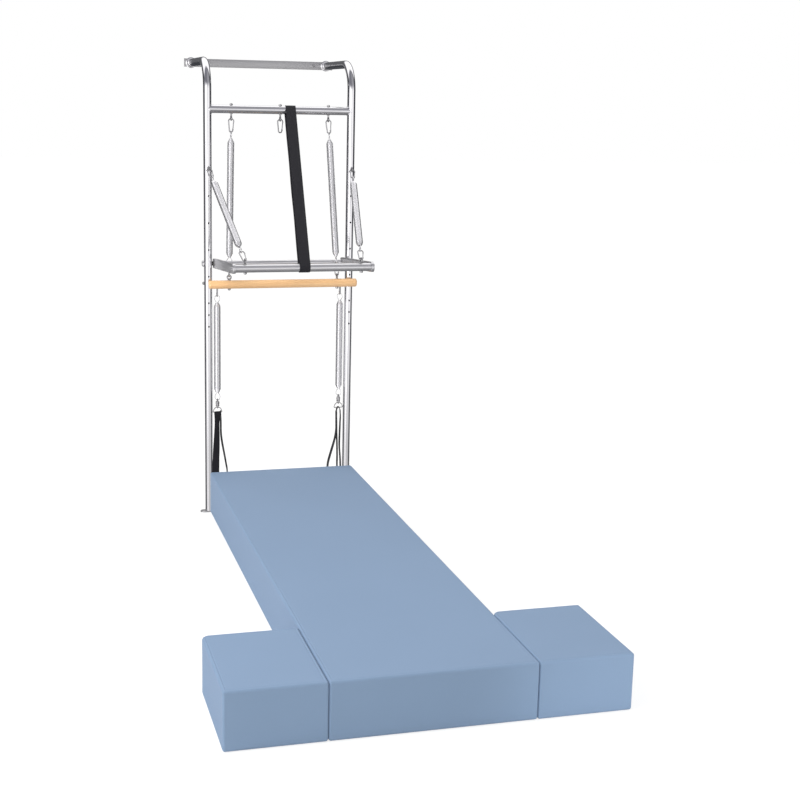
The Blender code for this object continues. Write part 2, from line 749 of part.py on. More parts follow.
def build_push_springs(carabiner, push_pivot):
    """Springs from the posts' front eyes down to the push-through bar."""
    turns = {"upper": 0, "top_loop": QUARTER, "bottom_loop": QUARTER, "lower": 0}
    for side, sign in SIDES.items():
        eyes = (front_eye(sign), handle_eye(sign))
        add_chain(f"{side}_push_spring", eyes, turns, (None, push_pivot), carabiner)


# Roll-down bar

BAR_BACK = TUBE_RADIUS + BAR_DIAMETER / 2 + GAP
ROLL_TOP = crossbar_eye(0).z - EYE_HOOK
ROLL_LEAN = math.atan2(BAR_BACK, ROLL_TOP - BAR_HEIGHT)
ROLL_DOWN = Vector((0, -math.sin(ROLL_LEAN), -math.cos(ROLL_LEAN)))


def bar_mesh():
    """A wooden bar along Z with rounded ends, drilled across for its eyebolts."""
    radius = BAR_DIAMETER / 2
    end = BAR_LENGTH / 2
    corner = arc(radius - BAR_END_ROUND, end - BAR_END_ROUND, BAR_END_ROUND, QUARTER, 0, CORNER_STEPS)
    half = [(0, end)] + corner
    profile = half + [(x, -z) for x, z in reversed(half)]
    eyes = [(0, 0, z) for z in (-BAR_EYE_SPREAD, BAR_EYE_SPREAD)]
    across = drills(HOLE_DIAMETER / 2, 2 * BAR_DIAMETER, eyes, (1, 0, 0))
    return combined(turned(profile, TUBE_SIDES), cut=(across,))


def build_roll_down(carabiner):
    """The wooden bar, its eyebolts and the long springs that carry it."""
    pivot = hinge("roll_down_hinge", on_rack(0, 0, ROLL_TOP), -ROLL_LEAN)
    middle = on_rack(BAR_OFFSET, -BAR_BACK, BAR_HEIGHT)
    add_part("roll_down_bar", bar_mesh(), frame_of(middle, (1, 0, 0), ROLL_DOWN), MAPLE, pivot)
    eyebolt = eyebolt_mesh(SHORT_NECK, BAR_DIAMETER)
    turned_links = {"upper": 0, "top_loop": QUARTER, "bottom_loop": 0, "lower": QUARTER}
    plain_links = {"upper": 0, "top_loop": SLANTED_LOOP_TURN, "bottom_loop": QUARTER, "lower": 0}
    for side, sign in SIDES.items():
        turns = turned_links if side == "left" else plain_links
        eye = middle + Vector((sign * BAR_EYE_SPREAD, 0, 0)) - (BAR_DIAMETER / 2 + SHORT_NECK) * ROLL_DOWN
        place = frame_of(eye, ROLL_DOWN, (1, 0, 0), turns["lower"] + QUARTER)
        add_part(f"{side}_bar_eyebolt", eyebolt, place, ZINC, pivot)
        eyes = (crossbar_eye(sign * CROSSBAR_EYE_SPREAD), eye)
        add_chain(f"{side}_long_spring", eyes, turns, (pivot, pivot), carabiner)


# Leg springs and foot straps

def ribbon(loop, width, thickness, shear):
    """A closed band of webbing: an anticlockwise loop of (y, z) points widened along X, its X by a rule."""
    mesh = bpy.data.meshes.new("ribbon")
    body = bmesh.new()
    near = [body.verts.new((shear(y, z) - width / 2, y, z)) for y, z in loop]
    far = [body.verts.new((shear(y, z) + width / 2, y, z)) for y, z in loop]
    count = len(loop)
    for i in range(count):
        j = (i + 1) % count
        body.faces.new((near[i], near[j], far[j], far[i]))
    body.to_mesh(mesh)
    body.free()
    band = shape(mesh)
    thick = band.modifiers.new("thickness", "SOLIDIFY")
    thick.thickness = thickness
    thick.offset = 1.0
    thick.use_even_offset = True
    return baked(band)


def wrap_radius(radius):
    """Radius of a half turn's corner points, so that its flats clear a round bar."""
    return (radius + GAP) / math.cos(math.pi / (2 * (ARC_STEPS - 1)))


def foot_strap_mesh():
    """A hanging loop of webbing round the ring's bar at the origin."""
    top = wrap_radius(RING_WIRE / 2)
    drop = RING_BAR_HEIGHT - STRAP_BOTTOM - STRAP_FOLD_RADIUS - STRAP_THICKNESS
    over = arc(0, 0, top, 0, math.pi, ARC_STEPS)
    under = arc(0, -drop, STRAP_FOLD_RADIUS, math.pi, 2 * math.pi, ARC_STEPS)
    return ribbon(over + under, STRAP_WIDTH, STRAP_THICKNESS, lambda y, z: 0)


LEG_FIRST = LEG_EYE_HEIGHT - EYE_HOOK
LEG_COIL_TOP = LEG_FIRST - CARABINER_LENGTH + LINK - LOOP_LENGTH
LEG_COIL_BOTTOM = LEG_COIL_TOP - LEG_COIL_LENGTH
SNAP_TOP = LEG_COIL_BOTTOM - LOOP_LENGTH + (SPRING_WIRE + SNAP_WIRE) / 2 + GAP
RING_TOP = SNAP_TOP - SNAP_LENGTH + (SNAP_WIRE + RING_WIRE) / 2 + GAP
RING_BAR_HEIGHT = RING_TOP - RING_HEIGHT


def build_leg_springs(carabiner):
    """On each side a spring hung from the post, a snap hook, a D-ring and a foot strap."""
    snap_line = link_line(SNAP_LENGTH, SNAP_WIDE, SNAP_NARROW)
    snap = baked(swept(snap_line, SNAP_WIRE, WIRE_LEVEL, cyclic=True))
    ring = baked(swept(d_ring_line(), RING_WIRE, WIRE_LEVEL, cyclic=True))
    strap = foot_strap_mesh()
    for side, sign in SIDES.items():
        eye = leg_eye(sign)
        pivot = hinge(f"{side}_leg_spring_hinge", eye - Vector((0, 0, EYE_RADIUS)))
        strap_pivot = hinge(f"{side}_foot_strap_hinge", Vector((eye.x, eye.y, RING_BAR_HEIGHT)))

        def at(height, turn=0.0):
            return frame_of((eye.x, eye.y, height), (0, 0, 1), (1, 0, 0), turn)

        add_part(f"{side}_leg_spring_carabiner", carabiner, at(LEG_FIRST, QUARTER), ZINC, pivot)
        bottom = Vector((eye.x, eye.y, LEG_COIL_BOTTOM))
        top = Vector((eye.x, eye.y, LEG_COIL_TOP))
        add_spring(f"{side}_leg_spring", bottom, top, (0, 0), pivot)
        add_part(f"{side}_snap_hook", snap, at(SNAP_TOP, QUARTER), ZINC, pivot)
        add_part(f"{side}_d_ring", ring, at(RING_TOP), ZINC, pivot)
        add_part(f"{side}_foot_strap", strap, at(RING_BAR_HEIGHT), BLACK_WEBBING, strap_pivot)


# Safety strap

def build_safety_strap():
    """A taut belt of webbing round the crossbar and the push-through bar's handle."""
    top = on_rack(0, 0, CROSSBAR_HEIGHT)
    low = push_point(0, -PUSH_REACH, 0)
    down = (low - top).normalized()
    side = down.cross(Vector((1, 0, 0)))
    length = (low - top).length
    belt = []
    for angle in np.linspace(-QUARTER, QUARTER, ARC_STEPS):
        reach = wrap_radius(TUBE_RADIUS)
        belt.append(top + reach * (-math.cos(angle) * down + math.sin(angle) * side))
    for angle in np.linspace(-QUARTER, QUARTER, ARC_STEPS):
        reach = wrap_radius(HANDLE_DIAMETER / 2)
        belt.append(low + reach * (math.cos(angle) * down - math.sin(angle) * side))

    def shift(y, z):
        share = (Vector((top.x, y, z)) - top).dot(down) / length
        return RACK_X + SAFETY_TOP_X + (SAFETY_BOTTOM_X - SAFETY_TOP_X) * share

    loop = [(point.y, point.z) for point in belt]
    strap = ribbon(loop, SAFETY_WIDTH, SAFETY_THICKNESS, shift)
    add_part("safety_strap", strap, Matrix(), BLACK_WEBBING)


# Mat and side blocks

def cushion_mesh(width, length, height, patches):
    """A firm pad on the floor with round edges, a low crown and slightly drawn-in sides."""
    half = Vector((width / 2, length / 2, height / 2))
    mesh = bpy.data.meshes.new("cushion")
    body = bmesh.new()
    bmesh.ops.create_cube(body, size=2, matrix=Matrix.Diagonal((*half, 1)))
    for axis, count in enumerate((*patches, 2)):
        limit = half[axis] - MAT_ROUND
        normal = [float(axis == i) for i in range(3)]
        for place in np.linspace(-limit, limit, count + 1):
            parts = body.verts[:] + body.edges[:] + body.faces[:]
            bmesh.ops.bisect_plane(body, geom=parts, plane_co=[place * n for n in normal], plane_no=normal)
    inner = half - Vector((MAT_ROUND, MAT_ROUND, MAT_ROUND))
    for corner in body.verts:
        core = Vector([max(-inner[i], min(inner[i], corner.co[i])) for i in range(3)])
        offset = corner.co - core
        if offset.length > 0:
            corner.co = core + MAT_ROUND * offset.normalized()
        share = [corner.co[i] / half[i] for i in range(3)]
        middle = max(0, 1 - share[2] ** 2)
        bulge = (1 - share[0] ** 2) * (1 - share[1] ** 2)
        if abs(share[0]) > SIDE_SHARE:
            corner.co.x -= math.copysign(MAT_DRAW_IN * middle * (1 - share[1] ** 2), share[0])
        if abs(share[1]) > SIDE_SHARE:
            corner.co.y -= math.copysign(MAT_DRAW_IN * middle * (1 - share[0] ** 2), share[1])
        if share[2] > 0:
            corner.co.z += MAT_CROWN * (max(0, bulge) - 1) * share[2]
    bmesh.ops.translate(body, verts=body.verts, vec=(0, 0, height / 2))
    body.to_mesh(mesh)
    body.free()
    return mesh


def build_cushions():
    back = RACK_Y - TUBE_RADIUS - CUSHION_GAP
    front = back - MAT_LENGTH
    mat = cushion_mesh(MAT_WIDTH, MAT_LENGTH, MAT_HEIGHT, MAT_PATCHES)
    add_part("mat", mat, along_z((0, (back + front) / 2, 0)), BLUE_VINYL)
    block = cushion_mesh(BLOCK_WIDTH, BLOCK_LENGTH, BLOCK_HEIGHT, BLOCK_PATCHES)
    for side, sign in SIDES.items():
        x = sign * (MAT_WIDTH / 2 + CUSHION_GAP + BLOCK_WIDTH / 2)
        add_part(f"{side}_block", block, along_z((x, front + BLOCK_LENGTH / 2, 0)), BLUE_VINYL)


def build():
    build_frame()
    build_frame_eyebolts()
    push_pivot = build_push_bar()
    line = link_line(CARABINER_LENGTH, CARABINER_WIDE, CARABINER_NARROW)
    carabiner = baked(swept(line, CARABINER_WIRE, WIRE_LEVEL, cyclic=True))
    spare_pivot = hinge("spare_carabiner_hinge", on_rack(0, 0, ROLL_TOP))
    spare = crossbar_eye(0) - Vector((0, 0, EYE_HOOK))
    add_part("spare_carabiner", carabiner, frame_of(spare, (0, 0, 1), (1, 0, 0)), ZINC, spare_pivot)
    build_push_springs(carabiner, push_pivot)
    build_roll_down(carabiner)
    build_leg_springs(carabiner)
    build_safety_strap()
    build_cushions()


build()
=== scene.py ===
"""Looks of the wall-mounted spring exercise unit, its raised mat and its side blocks."""

import math

import bmesh
import bpy
import numpy as np
from mathutils import Matrix, Vector


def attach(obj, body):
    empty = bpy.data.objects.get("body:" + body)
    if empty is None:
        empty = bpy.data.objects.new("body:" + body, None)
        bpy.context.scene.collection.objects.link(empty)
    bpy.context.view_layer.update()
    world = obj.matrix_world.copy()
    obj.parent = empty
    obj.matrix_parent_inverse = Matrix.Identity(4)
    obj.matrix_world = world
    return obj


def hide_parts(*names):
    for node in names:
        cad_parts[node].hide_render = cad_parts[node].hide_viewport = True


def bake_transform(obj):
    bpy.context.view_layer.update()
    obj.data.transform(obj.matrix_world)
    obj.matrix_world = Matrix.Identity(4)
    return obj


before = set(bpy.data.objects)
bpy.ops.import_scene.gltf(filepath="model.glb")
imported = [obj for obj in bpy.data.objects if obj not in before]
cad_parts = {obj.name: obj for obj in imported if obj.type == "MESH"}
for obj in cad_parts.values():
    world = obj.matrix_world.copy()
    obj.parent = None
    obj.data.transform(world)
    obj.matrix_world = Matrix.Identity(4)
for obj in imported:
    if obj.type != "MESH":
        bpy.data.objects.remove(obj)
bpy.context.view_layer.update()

scene = bpy.context.scene
scene.view_settings.view_transform = "Standard"


# The room. A white floor that runs out of sight under even light, two soft lamps and two spotlights. Metal
# sees a pale room in front of it, a lit ceiling over and behind it, and shade at the sides and the back
# with two brighter strips. Matt surfaces see a plain sky, a little warmer and dimmer in front.

class Value:
    """An output of a shader node; sums with it add Math nodes."""

    def __init__(self, graph, socket):
        self.graph = graph
        self.socket = socket

    def __add__(self, other):
        return self.graph.math("ADD", self, other)

    def __sub__(self, other):
        return self.graph.math("SUBTRACT", self, other)

    def __rsub__(self, other):
        return self.graph.math("SUBTRACT", other, self)

    def __mul__(self, other):
        return self.graph.math("MULTIPLY", self, other)

    __radd__ = __add__
    __rmul__ = __mul__


class Graph:
    """The node tree of a material or of the world."""

    def __init__(self, tree):
        self.tree = tree

    def add(self, kind, inputs=None, output=0, **settings):
        """A node with its settings, then its inputs; gives one output, or several for a tuple of names."""
        node = self.tree.nodes.new(kind)
        for name, value in settings.items():
            if name == "stops":
                ramp = node.color_ramp.elements
                while len(ramp) < len(value):
                    ramp.new(1.0)
                for stop, (place, color) in zip(ramp, value):
                    stop.position = place
                    stop.color = (*color, 1.0)
            else:
                setattr(node, name, value)
        for name, value in (inputs or {}).items():
            self.feed(node.inputs[name], value)
        if isinstance(output, tuple):
            return [Value(self, node.outputs[name]) for name in output]
        return Value(self, node.outputs[output])

    def feed(self, socket, value):
        if isinstance(value, Value):
            self.tree.links.new(value.socket, socket)
        else:
            socket.default_value = value

    def math(self, operation, *values):
        return self.add("ShaderNodeMath", dict(enumerate(values)), operation=operation)

    def fade(self, value, start, end):
        """A smooth step from 0 to 1 as a value goes from start to end."""
        span = {"Value": value, "From Min": start, "From Max": end}
        return self.add("ShaderNodeMapRange", span, interpolation_type="SMOOTHSTEP")

    def strip(self, value, start, full, fading, end):
        """A strip of a value's range, which comes up from start to full and goes down from fading to end."""
        return self.fade(value, start, full) * self.fade(value, end, fading)

    def blend(self, share, first, second):
        """One colour turning into another."""
        return self.add("ShaderNodeMix", {0: share, 6: first, 7: second}, 2, data_type="RGBA")

    def noise(self, vector, scale, detail):
        """Cloudy noise from 0 to 1, with its own number of waves a metre along each axis."""
        waves = self.add("ShaderNodeVectorMath", {0: vector, 1: scale}, operation="MULTIPLY")
        return self.add("ShaderNodeTexNoise", {"Vector": waves, "Scale": 1.0, "Detail": detail})

    def parts(self, vector):
        return self.add("ShaderNodeSeparateXYZ", {0: vector}, ("X", "Y", "Z"))

    def rays(self):
        """Whether a ray comes from the camera, from a shiny surface and through glass."""
        kinds = ("Is Camera Ray", "Is Glossy Ray", "Is Transmission Ray")
        return self.add("ShaderNodeLightPath", output=kinds)


def gray(level, violet=0.0):
    return (level, level * (1 - violet / 2), level * (1 + violet), 1.0)


world = bpy.data.worlds.new("room")
world.use_nodes = True
scene.world = world
sky = Graph(world.node_tree)
east, north, up = sky.parts(sky.add("ShaderNodeTexCoord", output="Generated"))
front = east * -0.20 + north * -0.98
right = east * 0.98 + north * -0.20
panes = sky.fade(up, -0.26, -0.12) + sky.fade(up, -0.30, -0.42)
window = sky.strip(right, -0.10, -0.26, -0.50, -0.68) * panes
streak = sky.strip(right, -0.12, 0.08, 0.24, 0.48)
near_floor = sky.fade(up, -0.15, -0.95)
far_floor = sky.fade(up, -0.12, -0.26)
right_shade = sky.fade(right, 0.10, 0.80) * far_floor
bands = 1.10 + window * 1.6 - streak * 0.30 - near_floor * 0.52 - far_floor * 0.25 - right_shade * 0.30
wall = sky.fade(front, 0.10, 0.60) * sky.fade(up, 0.40, 0.0) * bands
skylight = sky.fade(north, -0.22, 0.10) * sky.fade(up, 0.34, 0.62) * 1.25
middle = sky.fade(front, 0.0, 0.3) * sky.fade(up, 0.0, 0.34)
ceiling = middle * (0.16 + sky.fade(right, 0.0, 0.3) * 0.14)
behind = sky.fade(north, 0.60, 0.90)
back_wall = behind * sky.fade(up, -0.10, 0.02) * 0.07
back_floor = behind * sky.strip(up, -0.22, -0.32, -0.60, -0.75) * 0.22
corners = sky.strip(east, 0.60, 0.68, 0.86, 0.92) + sky.strip(east, -0.40, -0.46, -0.64, -0.70)
back_strips = corners * sky.fade(north, 0.25, 0.40) * sky.strip(up, -0.04, -0.12, -0.48, -0.62) * 0.9
underfoot = sky.fade(up, -0.55, -0.92) * 0.15
shown = wall + skylight + ceiling + back_wall + back_floor + back_strips + underfoot + 0.05
tinted = {"Red": shown, "Green": shown * 0.99 + 0.003, "Blue": shown + middle * 0.02 + 0.010}
mirrored = sky.add("ShaderNodeCombineColor", tinted)
direct, glossy, through = sky.rays()
soft = sky.blend(sky.fade(front, 0.0, 0.8), gray(0.78), (0.695, 0.680, 0.625, 1.0))
seen = sky.blend(glossy, soft, mirrored)
backdrop = sky.blend(sky.math("MAXIMUM", direct, through), seen, gray(1.0))
sky.feed(world.node_tree.nodes["Background"].inputs["Color"], backdrop)


def new_object(name, data):
    """An object in the scene for a mesh, a lamp or other data."""
    thing = bpy.data.objects.new(name, data)
    scene.collection.objects.link(thing)
    return thing


far = 40
floor_mesh = bpy.data.meshes.new("floor")
floor_mesh.from_pydata([(-far, -far, 0), (far, -far, 0), (far, far, 0), (-far, far, 0)], [], [(0, 1, 2, 3)])
floor = new_object("floor", floor_mesh)
floor.location.z = -0.0006
floor_paint = bpy.data.materials.new("floor")
floor_paint.use_nodes = True
ground = Graph(floor_paint.node_tree)
direct, glossy, through = ground.rays()
lit = ground.add("ShaderNodeBsdfDiffuse", {"Color": gray(0.92)})
glow = ground.add("ShaderNodeEmission", {"Color": gray(1.0), "Strength": 1.22})
top = ground.add("ShaderNodeMixShader", {0: (direct + glossy + through) * 0.62, 1: lit, 2: glow})
ground.feed(floor_paint.node_tree.nodes["Material Output"].inputs["Surface"], top)
floor_mesh.materials.append(floor_paint)
floor.visible_glossy = False


def lamp(name, place, target, power, size, cone=0.0):
    """A round lamp or, with a cone in degrees, a spotlight of a given size; steel doesn't mirror it."""
    light = bpy.data.lights.new(name, "SPOT" if cone else "AREA")
    if cone:
        light.spot_size = math.radians(cone)
        light.spot_blend = 0.8
        light.shadow_soft_size = size
    else:
        light.shape = "DISK"
        light.size = size
    light.energy = power
    thing = new_object(name, light)
    thing.location = place
    thing.rotation_euler = (Vector(target) - Vector(place)).to_track_quat("-Z", "Y").to_euler()
    thing.visible_glossy = False


lamp("left_lamp", (-4.3, -1.6, 4.1), (0, -0.3, 0.3), 189, 3.5)
lamp("front_lamp", (0.6, -6.8, 0.9), (0, -1.5, 0.1), 11, 2.0)
lamp("rack_lamp", (-0.8, -3.2, 2.6), (0, 1.0, 1.55), 220, 0.5, 26)
lamp("block_lamp", (1.9, -4.6, 0.5), (0.68, -1.55, 0.08), 128, 0.1, 16)

lens = bpy.data.cameras.new("camera")
lens.sensor_width = 36.0
lens.lens = 61.64
lens.shift_x = 0.0313
lens.shift_y = -0.0218
camera = new_object("camera", lens)
turn, dip, lean = 0.2695, 0.2028, 0.0200
heading = Matrix.Rotation(-turn, 4, "Z") @ Matrix.Rotation(math.pi / 2 - dip, 4, "X")
camera.matrix_world = Matrix.Translation((-1.3092, -5.4671, 1.9972)) @ heading @ Matrix.Rotation(lean, 4, "Z")
scene.camera = camera


# Posts. Two polished steel tubes, each of a straight drilled lower tube, a ring and spigot that join it
# to the bent upper tube, a tab that screws to the floor and a flange at the rail. A crossbar is welded
# between them.

RACK = Vector((-0.0125, 1.000, 0))
POST_X, TUBE, BORE = 0.345, 0.019, 0.017
ARM_HEIGHT, BEND = 2.166, 0.127
WALL, RAIL_THICKNESS = 0.550, 0.006
SEAM, COLLAR, SPIGOT, SPIGOT_REACH = 1.788, 0.006, 0.016, 0.031
FLANGE = 0.0262
TAB, TAB_WIDTH, TAB_REACH = 0.005, 0.019, 0.024
CROSSBAR_HEIGHT = 1.946
HOLES = [1.672 - 0.127 * i for i in range(6)] + [0.980, 0.923]
HOLE, PIVOT_HOLE = 0.0043, 0.0063
LEG_EYE_HEIGHT = 1.131
PIVOT_HEIGHT = LEG_EYE_HEIGHT + 0.094
GAP, EDGE = 0.0003, 0.0005
ROUND = 48
QUARTER = math.pi / 2
SIDES = {"left": -1, "right": 1}
X, Y, Z = (1, 0, 0), (0, 1, 0), (0, 0, 1)


def spokes(count):
    """Angles evenly spaced round a circle."""
    return math.tau * np.arange(count) / count


def unit(rows):
    """Vectors brought to a length of 1."""
    return rows / np.maximum(np.linalg.norm(rows, axis=1), 1e-9)[:, None]


def capped(line, rows, along, first, last):
    """Rows and their runs, closed at both ends of an open line by its first and its last point."""
    ends = [np.repeat(line[at][None, None], rows.shape[1], axis=1) for at in (0, -1)]
    runs = np.concatenate([[-first], along[:-1], [along[-2] + last]])
    return np.concatenate([ends[0], rows, ends[1]]), runs


def weld(mesh):
    """Joins the points of a mesh that meet, and turns its faces outward."""
    body = bmesh.new()
    body.from_mesh(mesh)
    bmesh.ops.remove_doubles(body, verts=body.verts, dist=0.000002)
    bmesh.ops.recalc_face_normals(body, faces=body.faces)
    body.to_mesh(mesh)
    body.free()


class Skin:
    """Faces gathered into one mesh, with a UV map that measures metres over each surface."""

    def __init__(self):
        self.points = []
        self.faces = []
        self.places = []

    def grid(self, rows, across, along, wrap=False, close=False, matrix=None):
        """Quads over rows of points; wrap joins each row's ends, close joins the last row to the first."""
        rows = np.asarray(rows, float)
        count, width = rows.shape[:2]
        if matrix:
            turned = np.array(matrix)
            rows = rows @ turned[:3, :3].T + turned[:3, 3]
        base = len(self.points)
        self.points.extend(rows.reshape(-1, 3).tolist())
        for i in range(count if close else count - 1):
            low, high = base + i * width, base + (i + 1) % count * width
            for k in range(width if wrap else width - 1):
                m = (k + 1) % width
                self.faces.append((low + k, low + m, high + m, high + k))
                start, end, low_run, high_run = across[k], across[k + 1], along[i], along[i + 1]
                self.places.append([(start, low_run), (end, low_run), (end, high_run), (start, high_run)])

    def tube(self, line, radius, sides=16, closed=False, matrix=None):
        """A round bar along a line of points; its radius is one number or one for each point."""
        line = np.asarray(line, float)
        count = len(line)
        radii = np.broadcast_to(radius, count)
        step = np.roll(line, -1, axis=0) - line
        lengths = np.linalg.norm(step, axis=1)
        step = unit(step)
        if not closed:
            step[-1] = step[-2]
        before = np.roll(step, 1, axis=0)
        if not closed:
            before[0] = step[0]
        ahead = unit(step + before)
        hint = np.eye(3)[np.argmin(np.abs(ahead[0]))]
        normals = [np.cross(ahead[0], hint)]
        normals[0] /= np.linalg.norm(normals[0])
        for i in range(1, count):
            normal = normals[-1] - normals[-1].dot(ahead[i]) * ahead[i]
            normals.append(normal / np.linalg.norm(normal))
        normals = np.array(normals)
        others = np.cross(ahead, normals)
        twist = np.zeros(count)
        if closed:
            off = math.atan2(normals[-1].dot(others[0]), normals[-1].dot(normals[0]))
            twist = -off * np.arange(count) / count
        turned = spokes(sides)[None, :] + twist[:, None]
        ring = np.cos(turned)[..., None] * normals[:, None] + np.sin(turned)[..., None] * others[:, None]
        rows = line[:, None] + radii[:, None, None] * ring
        across = np.arange(sides + 1) * math.tau * float(np.mean(radii)) / sides
        along = np.concatenate([[0], np.cumsum(lengths)])
        if not closed:
            rows, along = capped(line, rows, along, radii[0], radii[-1])
        self.grid(rows, across, along, True, closed, matrix)

    def lathe(self, profile, steps, matrix=None, closed=False):
        """A profile of radius and height turned about Z."""
        profile = np.asarray(profile, float)
        circle = np.stack([np.cos(spokes(steps)), np.sin(spokes(steps))], axis=1)
        rows = [[(r * x, r * y, z) for x, y in circle] for r, z in profile]
        runs = np.linalg.norm(np.diff(np.vstack([profile, profile[:1]]), axis=0), axis=1)
        across = np.arange(steps + 1) * math.tau * profile[:, 0].max() / steps
        self.grid(rows, across, np.concatenate([[0], np.cumsum(runs)]), True, closed, matrix)

    def mesh(self, name, sharp=35.0):
        mesh = bpy.data.meshes.new(name)
        mesh.from_pydata(self.points, [], self.faces)
        layer = mesh.uv_layers.new(name="run")
        layer.uv.foreach_set("vector", [number for face in self.places for place in face for number in place])
        weld(mesh)
        mesh.shade_smooth()
        mesh.set_sharp_from_angle(angle=math.radians(sharp))
        return mesh


def lathed(name, steps, profile, matrix=None, closed=False, sharp=35.0):
    """A mesh of one profile turned about Z."""
    skin = Skin()
    skin.lathe(profile, steps, matrix, closed)
    return skin.mesh(name, sharp)


def both_ends(half):
    """A profile whose second half mirrors its first."""
    return half + [(r, -z) for r, z in reversed(half)]


def frame_of(origin, z_axis, x_hint, turned=0.0):
    """World matrix at a point, with its Z axis given and its X axis near a hint."""
    z_axis = Vector(z_axis).normalized()
    x_axis = Vector(x_hint)
    x_axis = (x_axis - x_axis.dot(z_axis) * z_axis).normalized()
    turning = Matrix((x_axis, z_axis.cross(x_axis), z_axis)).transposed().to_4x4()
    return Matrix.Translation(origin) @ turning @ Matrix.Rotation(turned, 4, "Z")


def on_rack(x, y, z):
    return RACK + Vector((x, y, z))


def piece(name, mesh, finish, body, matrix=None, *replaced):
    """A visible piece on its body, with its material and the CAD nodes that it stands for."""
    thing = new_object(name, mesh)
    if not mesh.materials:
        mesh.materials.append(finish.material)
    thing.matrix_world = matrix or Matrix()
    if body:
        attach(thing, body)
    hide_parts(*replaced)
    return thing


class Finish(Graph):
    """A material: constants stand on the shader's own sockets, and patterns are added to its tree."""

    def __init__(self, name, slot=None, **constants):
        self.slot = slot or name
        self.material = bpy.data.materials.new(name)
        self.material.use_nodes = True
        super().__init__(self.material.node_tree)
        self.shader = self.tree.nodes["Principled BSDF"]
        for socket, value in constants.items():
            self.shader.inputs[socket.replace("_", " ")].default_value = value
        self.run = self.add("ShaderNodeUVMap", uv_map="run")
        self.spot = self.add("ShaderNodeTexCoord", output="Object")

    def wear(self, color, roughness, height, depth):
        """Feeds the shader's colour and roughness, and a relief of a given depth in metres."""
        relief = self.add("ShaderNodeBump", {"Strength": 1.0, "Distance": depth, "Height": height})
        for socket, value in (("Base Color", color), ("Roughness", roughness), ("Normal", relief)):
            self.feed(self.shader.inputs[socket], value)


def steel(name, level, rough, spread, along, relief, metal=1.0, slot=None):
    """Steel with grain along its run, cloudy smears and a slight change of tone."""
    finish = Finish(name, slot, Metallic=metal)
    grain = finish.noise(finish.run, (900.0, along, 1.0), 3.0)
    smear = finish.noise(finish.spot, (9.0, 9.0, 5.0), 4.0)
    tone = finish.blend(smear * 0.6 + grain * 0.4, gray(level * 0.93), gray(level * 1.05, 0.02))
    roughness = smear * spread + grain * spread * 0.8 + (rough - 0.9 * spread)
    finish.wear(tone, roughness, grain, relief)
    return finish


POLISHED = steel("polished_steel", 0.84, 0.12, 0.05, 6.0, 0.000004)


def arc(x, y, radius, start, end, count):
    """Points on a circle between two angles, both ends included."""
    angles = np.linspace(start, end, count)
    return [(x + radius * math.cos(a), y + radius * math.sin(a)) for a in angles]


def evaluated(thing):
    """The mesh of an object with its modifiers applied; the object is removed."""
    graph = bpy.context.evaluated_depsgraph_get()
    graph.update()
    mesh = bpy.data.meshes.new_from_object(thing.evaluated_get(graph))
    bpy.data.objects.remove(thing, do_unlink=True)
    return mesh


def drilled(mesh, holes):
    """A mesh with round holes cut through it, each a centre, a direction and a radius."""
    tools = Skin()
    reach = 0.04
    for centre, direction, radius in holes:
        place = frame_of(centre, direction, (direction[1], direction[2], direction[0]))
        tools.lathe([(0, -reach), (radius, -reach), (radius, reach), (0, reach)], 20, place)
    cutter = new_object("cutter", tools.mesh("cutter"))
    base = new_object("drilled", mesh)
    cut = base.modifiers.new("cut", "BOOLEAN")
    cut.operation = "DIFFERENCE"
    cut.object = cutter
    result = evaluated(base)
    bpy.data.objects.remove(cutter, do_unlink=True)
    return result


def keep_round(mesh):
    """Gives a drilled tube along Z the normals of true cylinders, so that its holes leave no creases."""
    normals = []
    for polygon in mesh.polygons:
        away = np.array([(*mesh.vertices[i].co.xy, 0) for i in polygon.vertices])
        radii = np.linalg.norm(away, axis=1)[:, None]
        rows = np.tile(np.array(polygon.normal), (len(away), 1))
        for radius, way in ((TUBE, 1), (BORE, -1)):
            if np.abs(radii - radius).max() < 0.00012 and abs(polygon.normal.z) < 0.1:
                rows = way * away / radii
        normals += rows.tolist()
    mesh.polygons.foreach_set("use_smooth", [True] * len(mesh.polygons))
    mesh.normals_split_custom_set(normals)


low_end, high_end = TAB + GAP, SEAM - COLLAR - GAP
rim = [(TUBE - EDGE, low_end), (TUBE, low_end + EDGE), (TUBE, high_end - EDGE), (TUBE - EDGE, high_end)]
lower = lathed("lower_post", ROUND, rim + [(BORE, high_end), (BORE, low_end)], closed=True)
openings = [((0, 0, z), Y, HOLE) for z in HOLES]
openings += [((0, 0, PIVOT_HEIGHT), X, PIVOT_HOLE), ((0, 0, LEG_EYE_HEIGHT), X, HOLE)]
lower_mesh = drilled(lower, openings)
keep_round(lower_mesh)

upper = Skin()
bend_height, arm_end = ARM_HEIGHT - BEND, WALL - RAIL_THICKNESS - GAP
rise = [(0, 0, z) for z in np.linspace(SEAM + COLLAR + GAP, bend_height - 0.01, 6)]
bend = [(0, y, z) for y, z in arc(BEND, bend_height, BEND, math.pi, QUARTER, 25)]
run = [(0, y, ARM_HEIGHT) for y in np.linspace(BEND + 0.01, arm_end, 6)]
upper.tube(rise + bend + run, TUBE, ROUND)
upper_mesh = upper.mesh("upper_post")
disc = [(TUBE, -0.007), (TUBE + 0.0025, -0.0047), (0.0250, -0.0045), (FLANGE, -0.0037), (FLANGE, 0)]
disc_mesh = lathed("flange", ROUND, disc + [(TUBE, 0)], frame_of((0, arm_end, ARM_HEIGHT), Y, X), True)

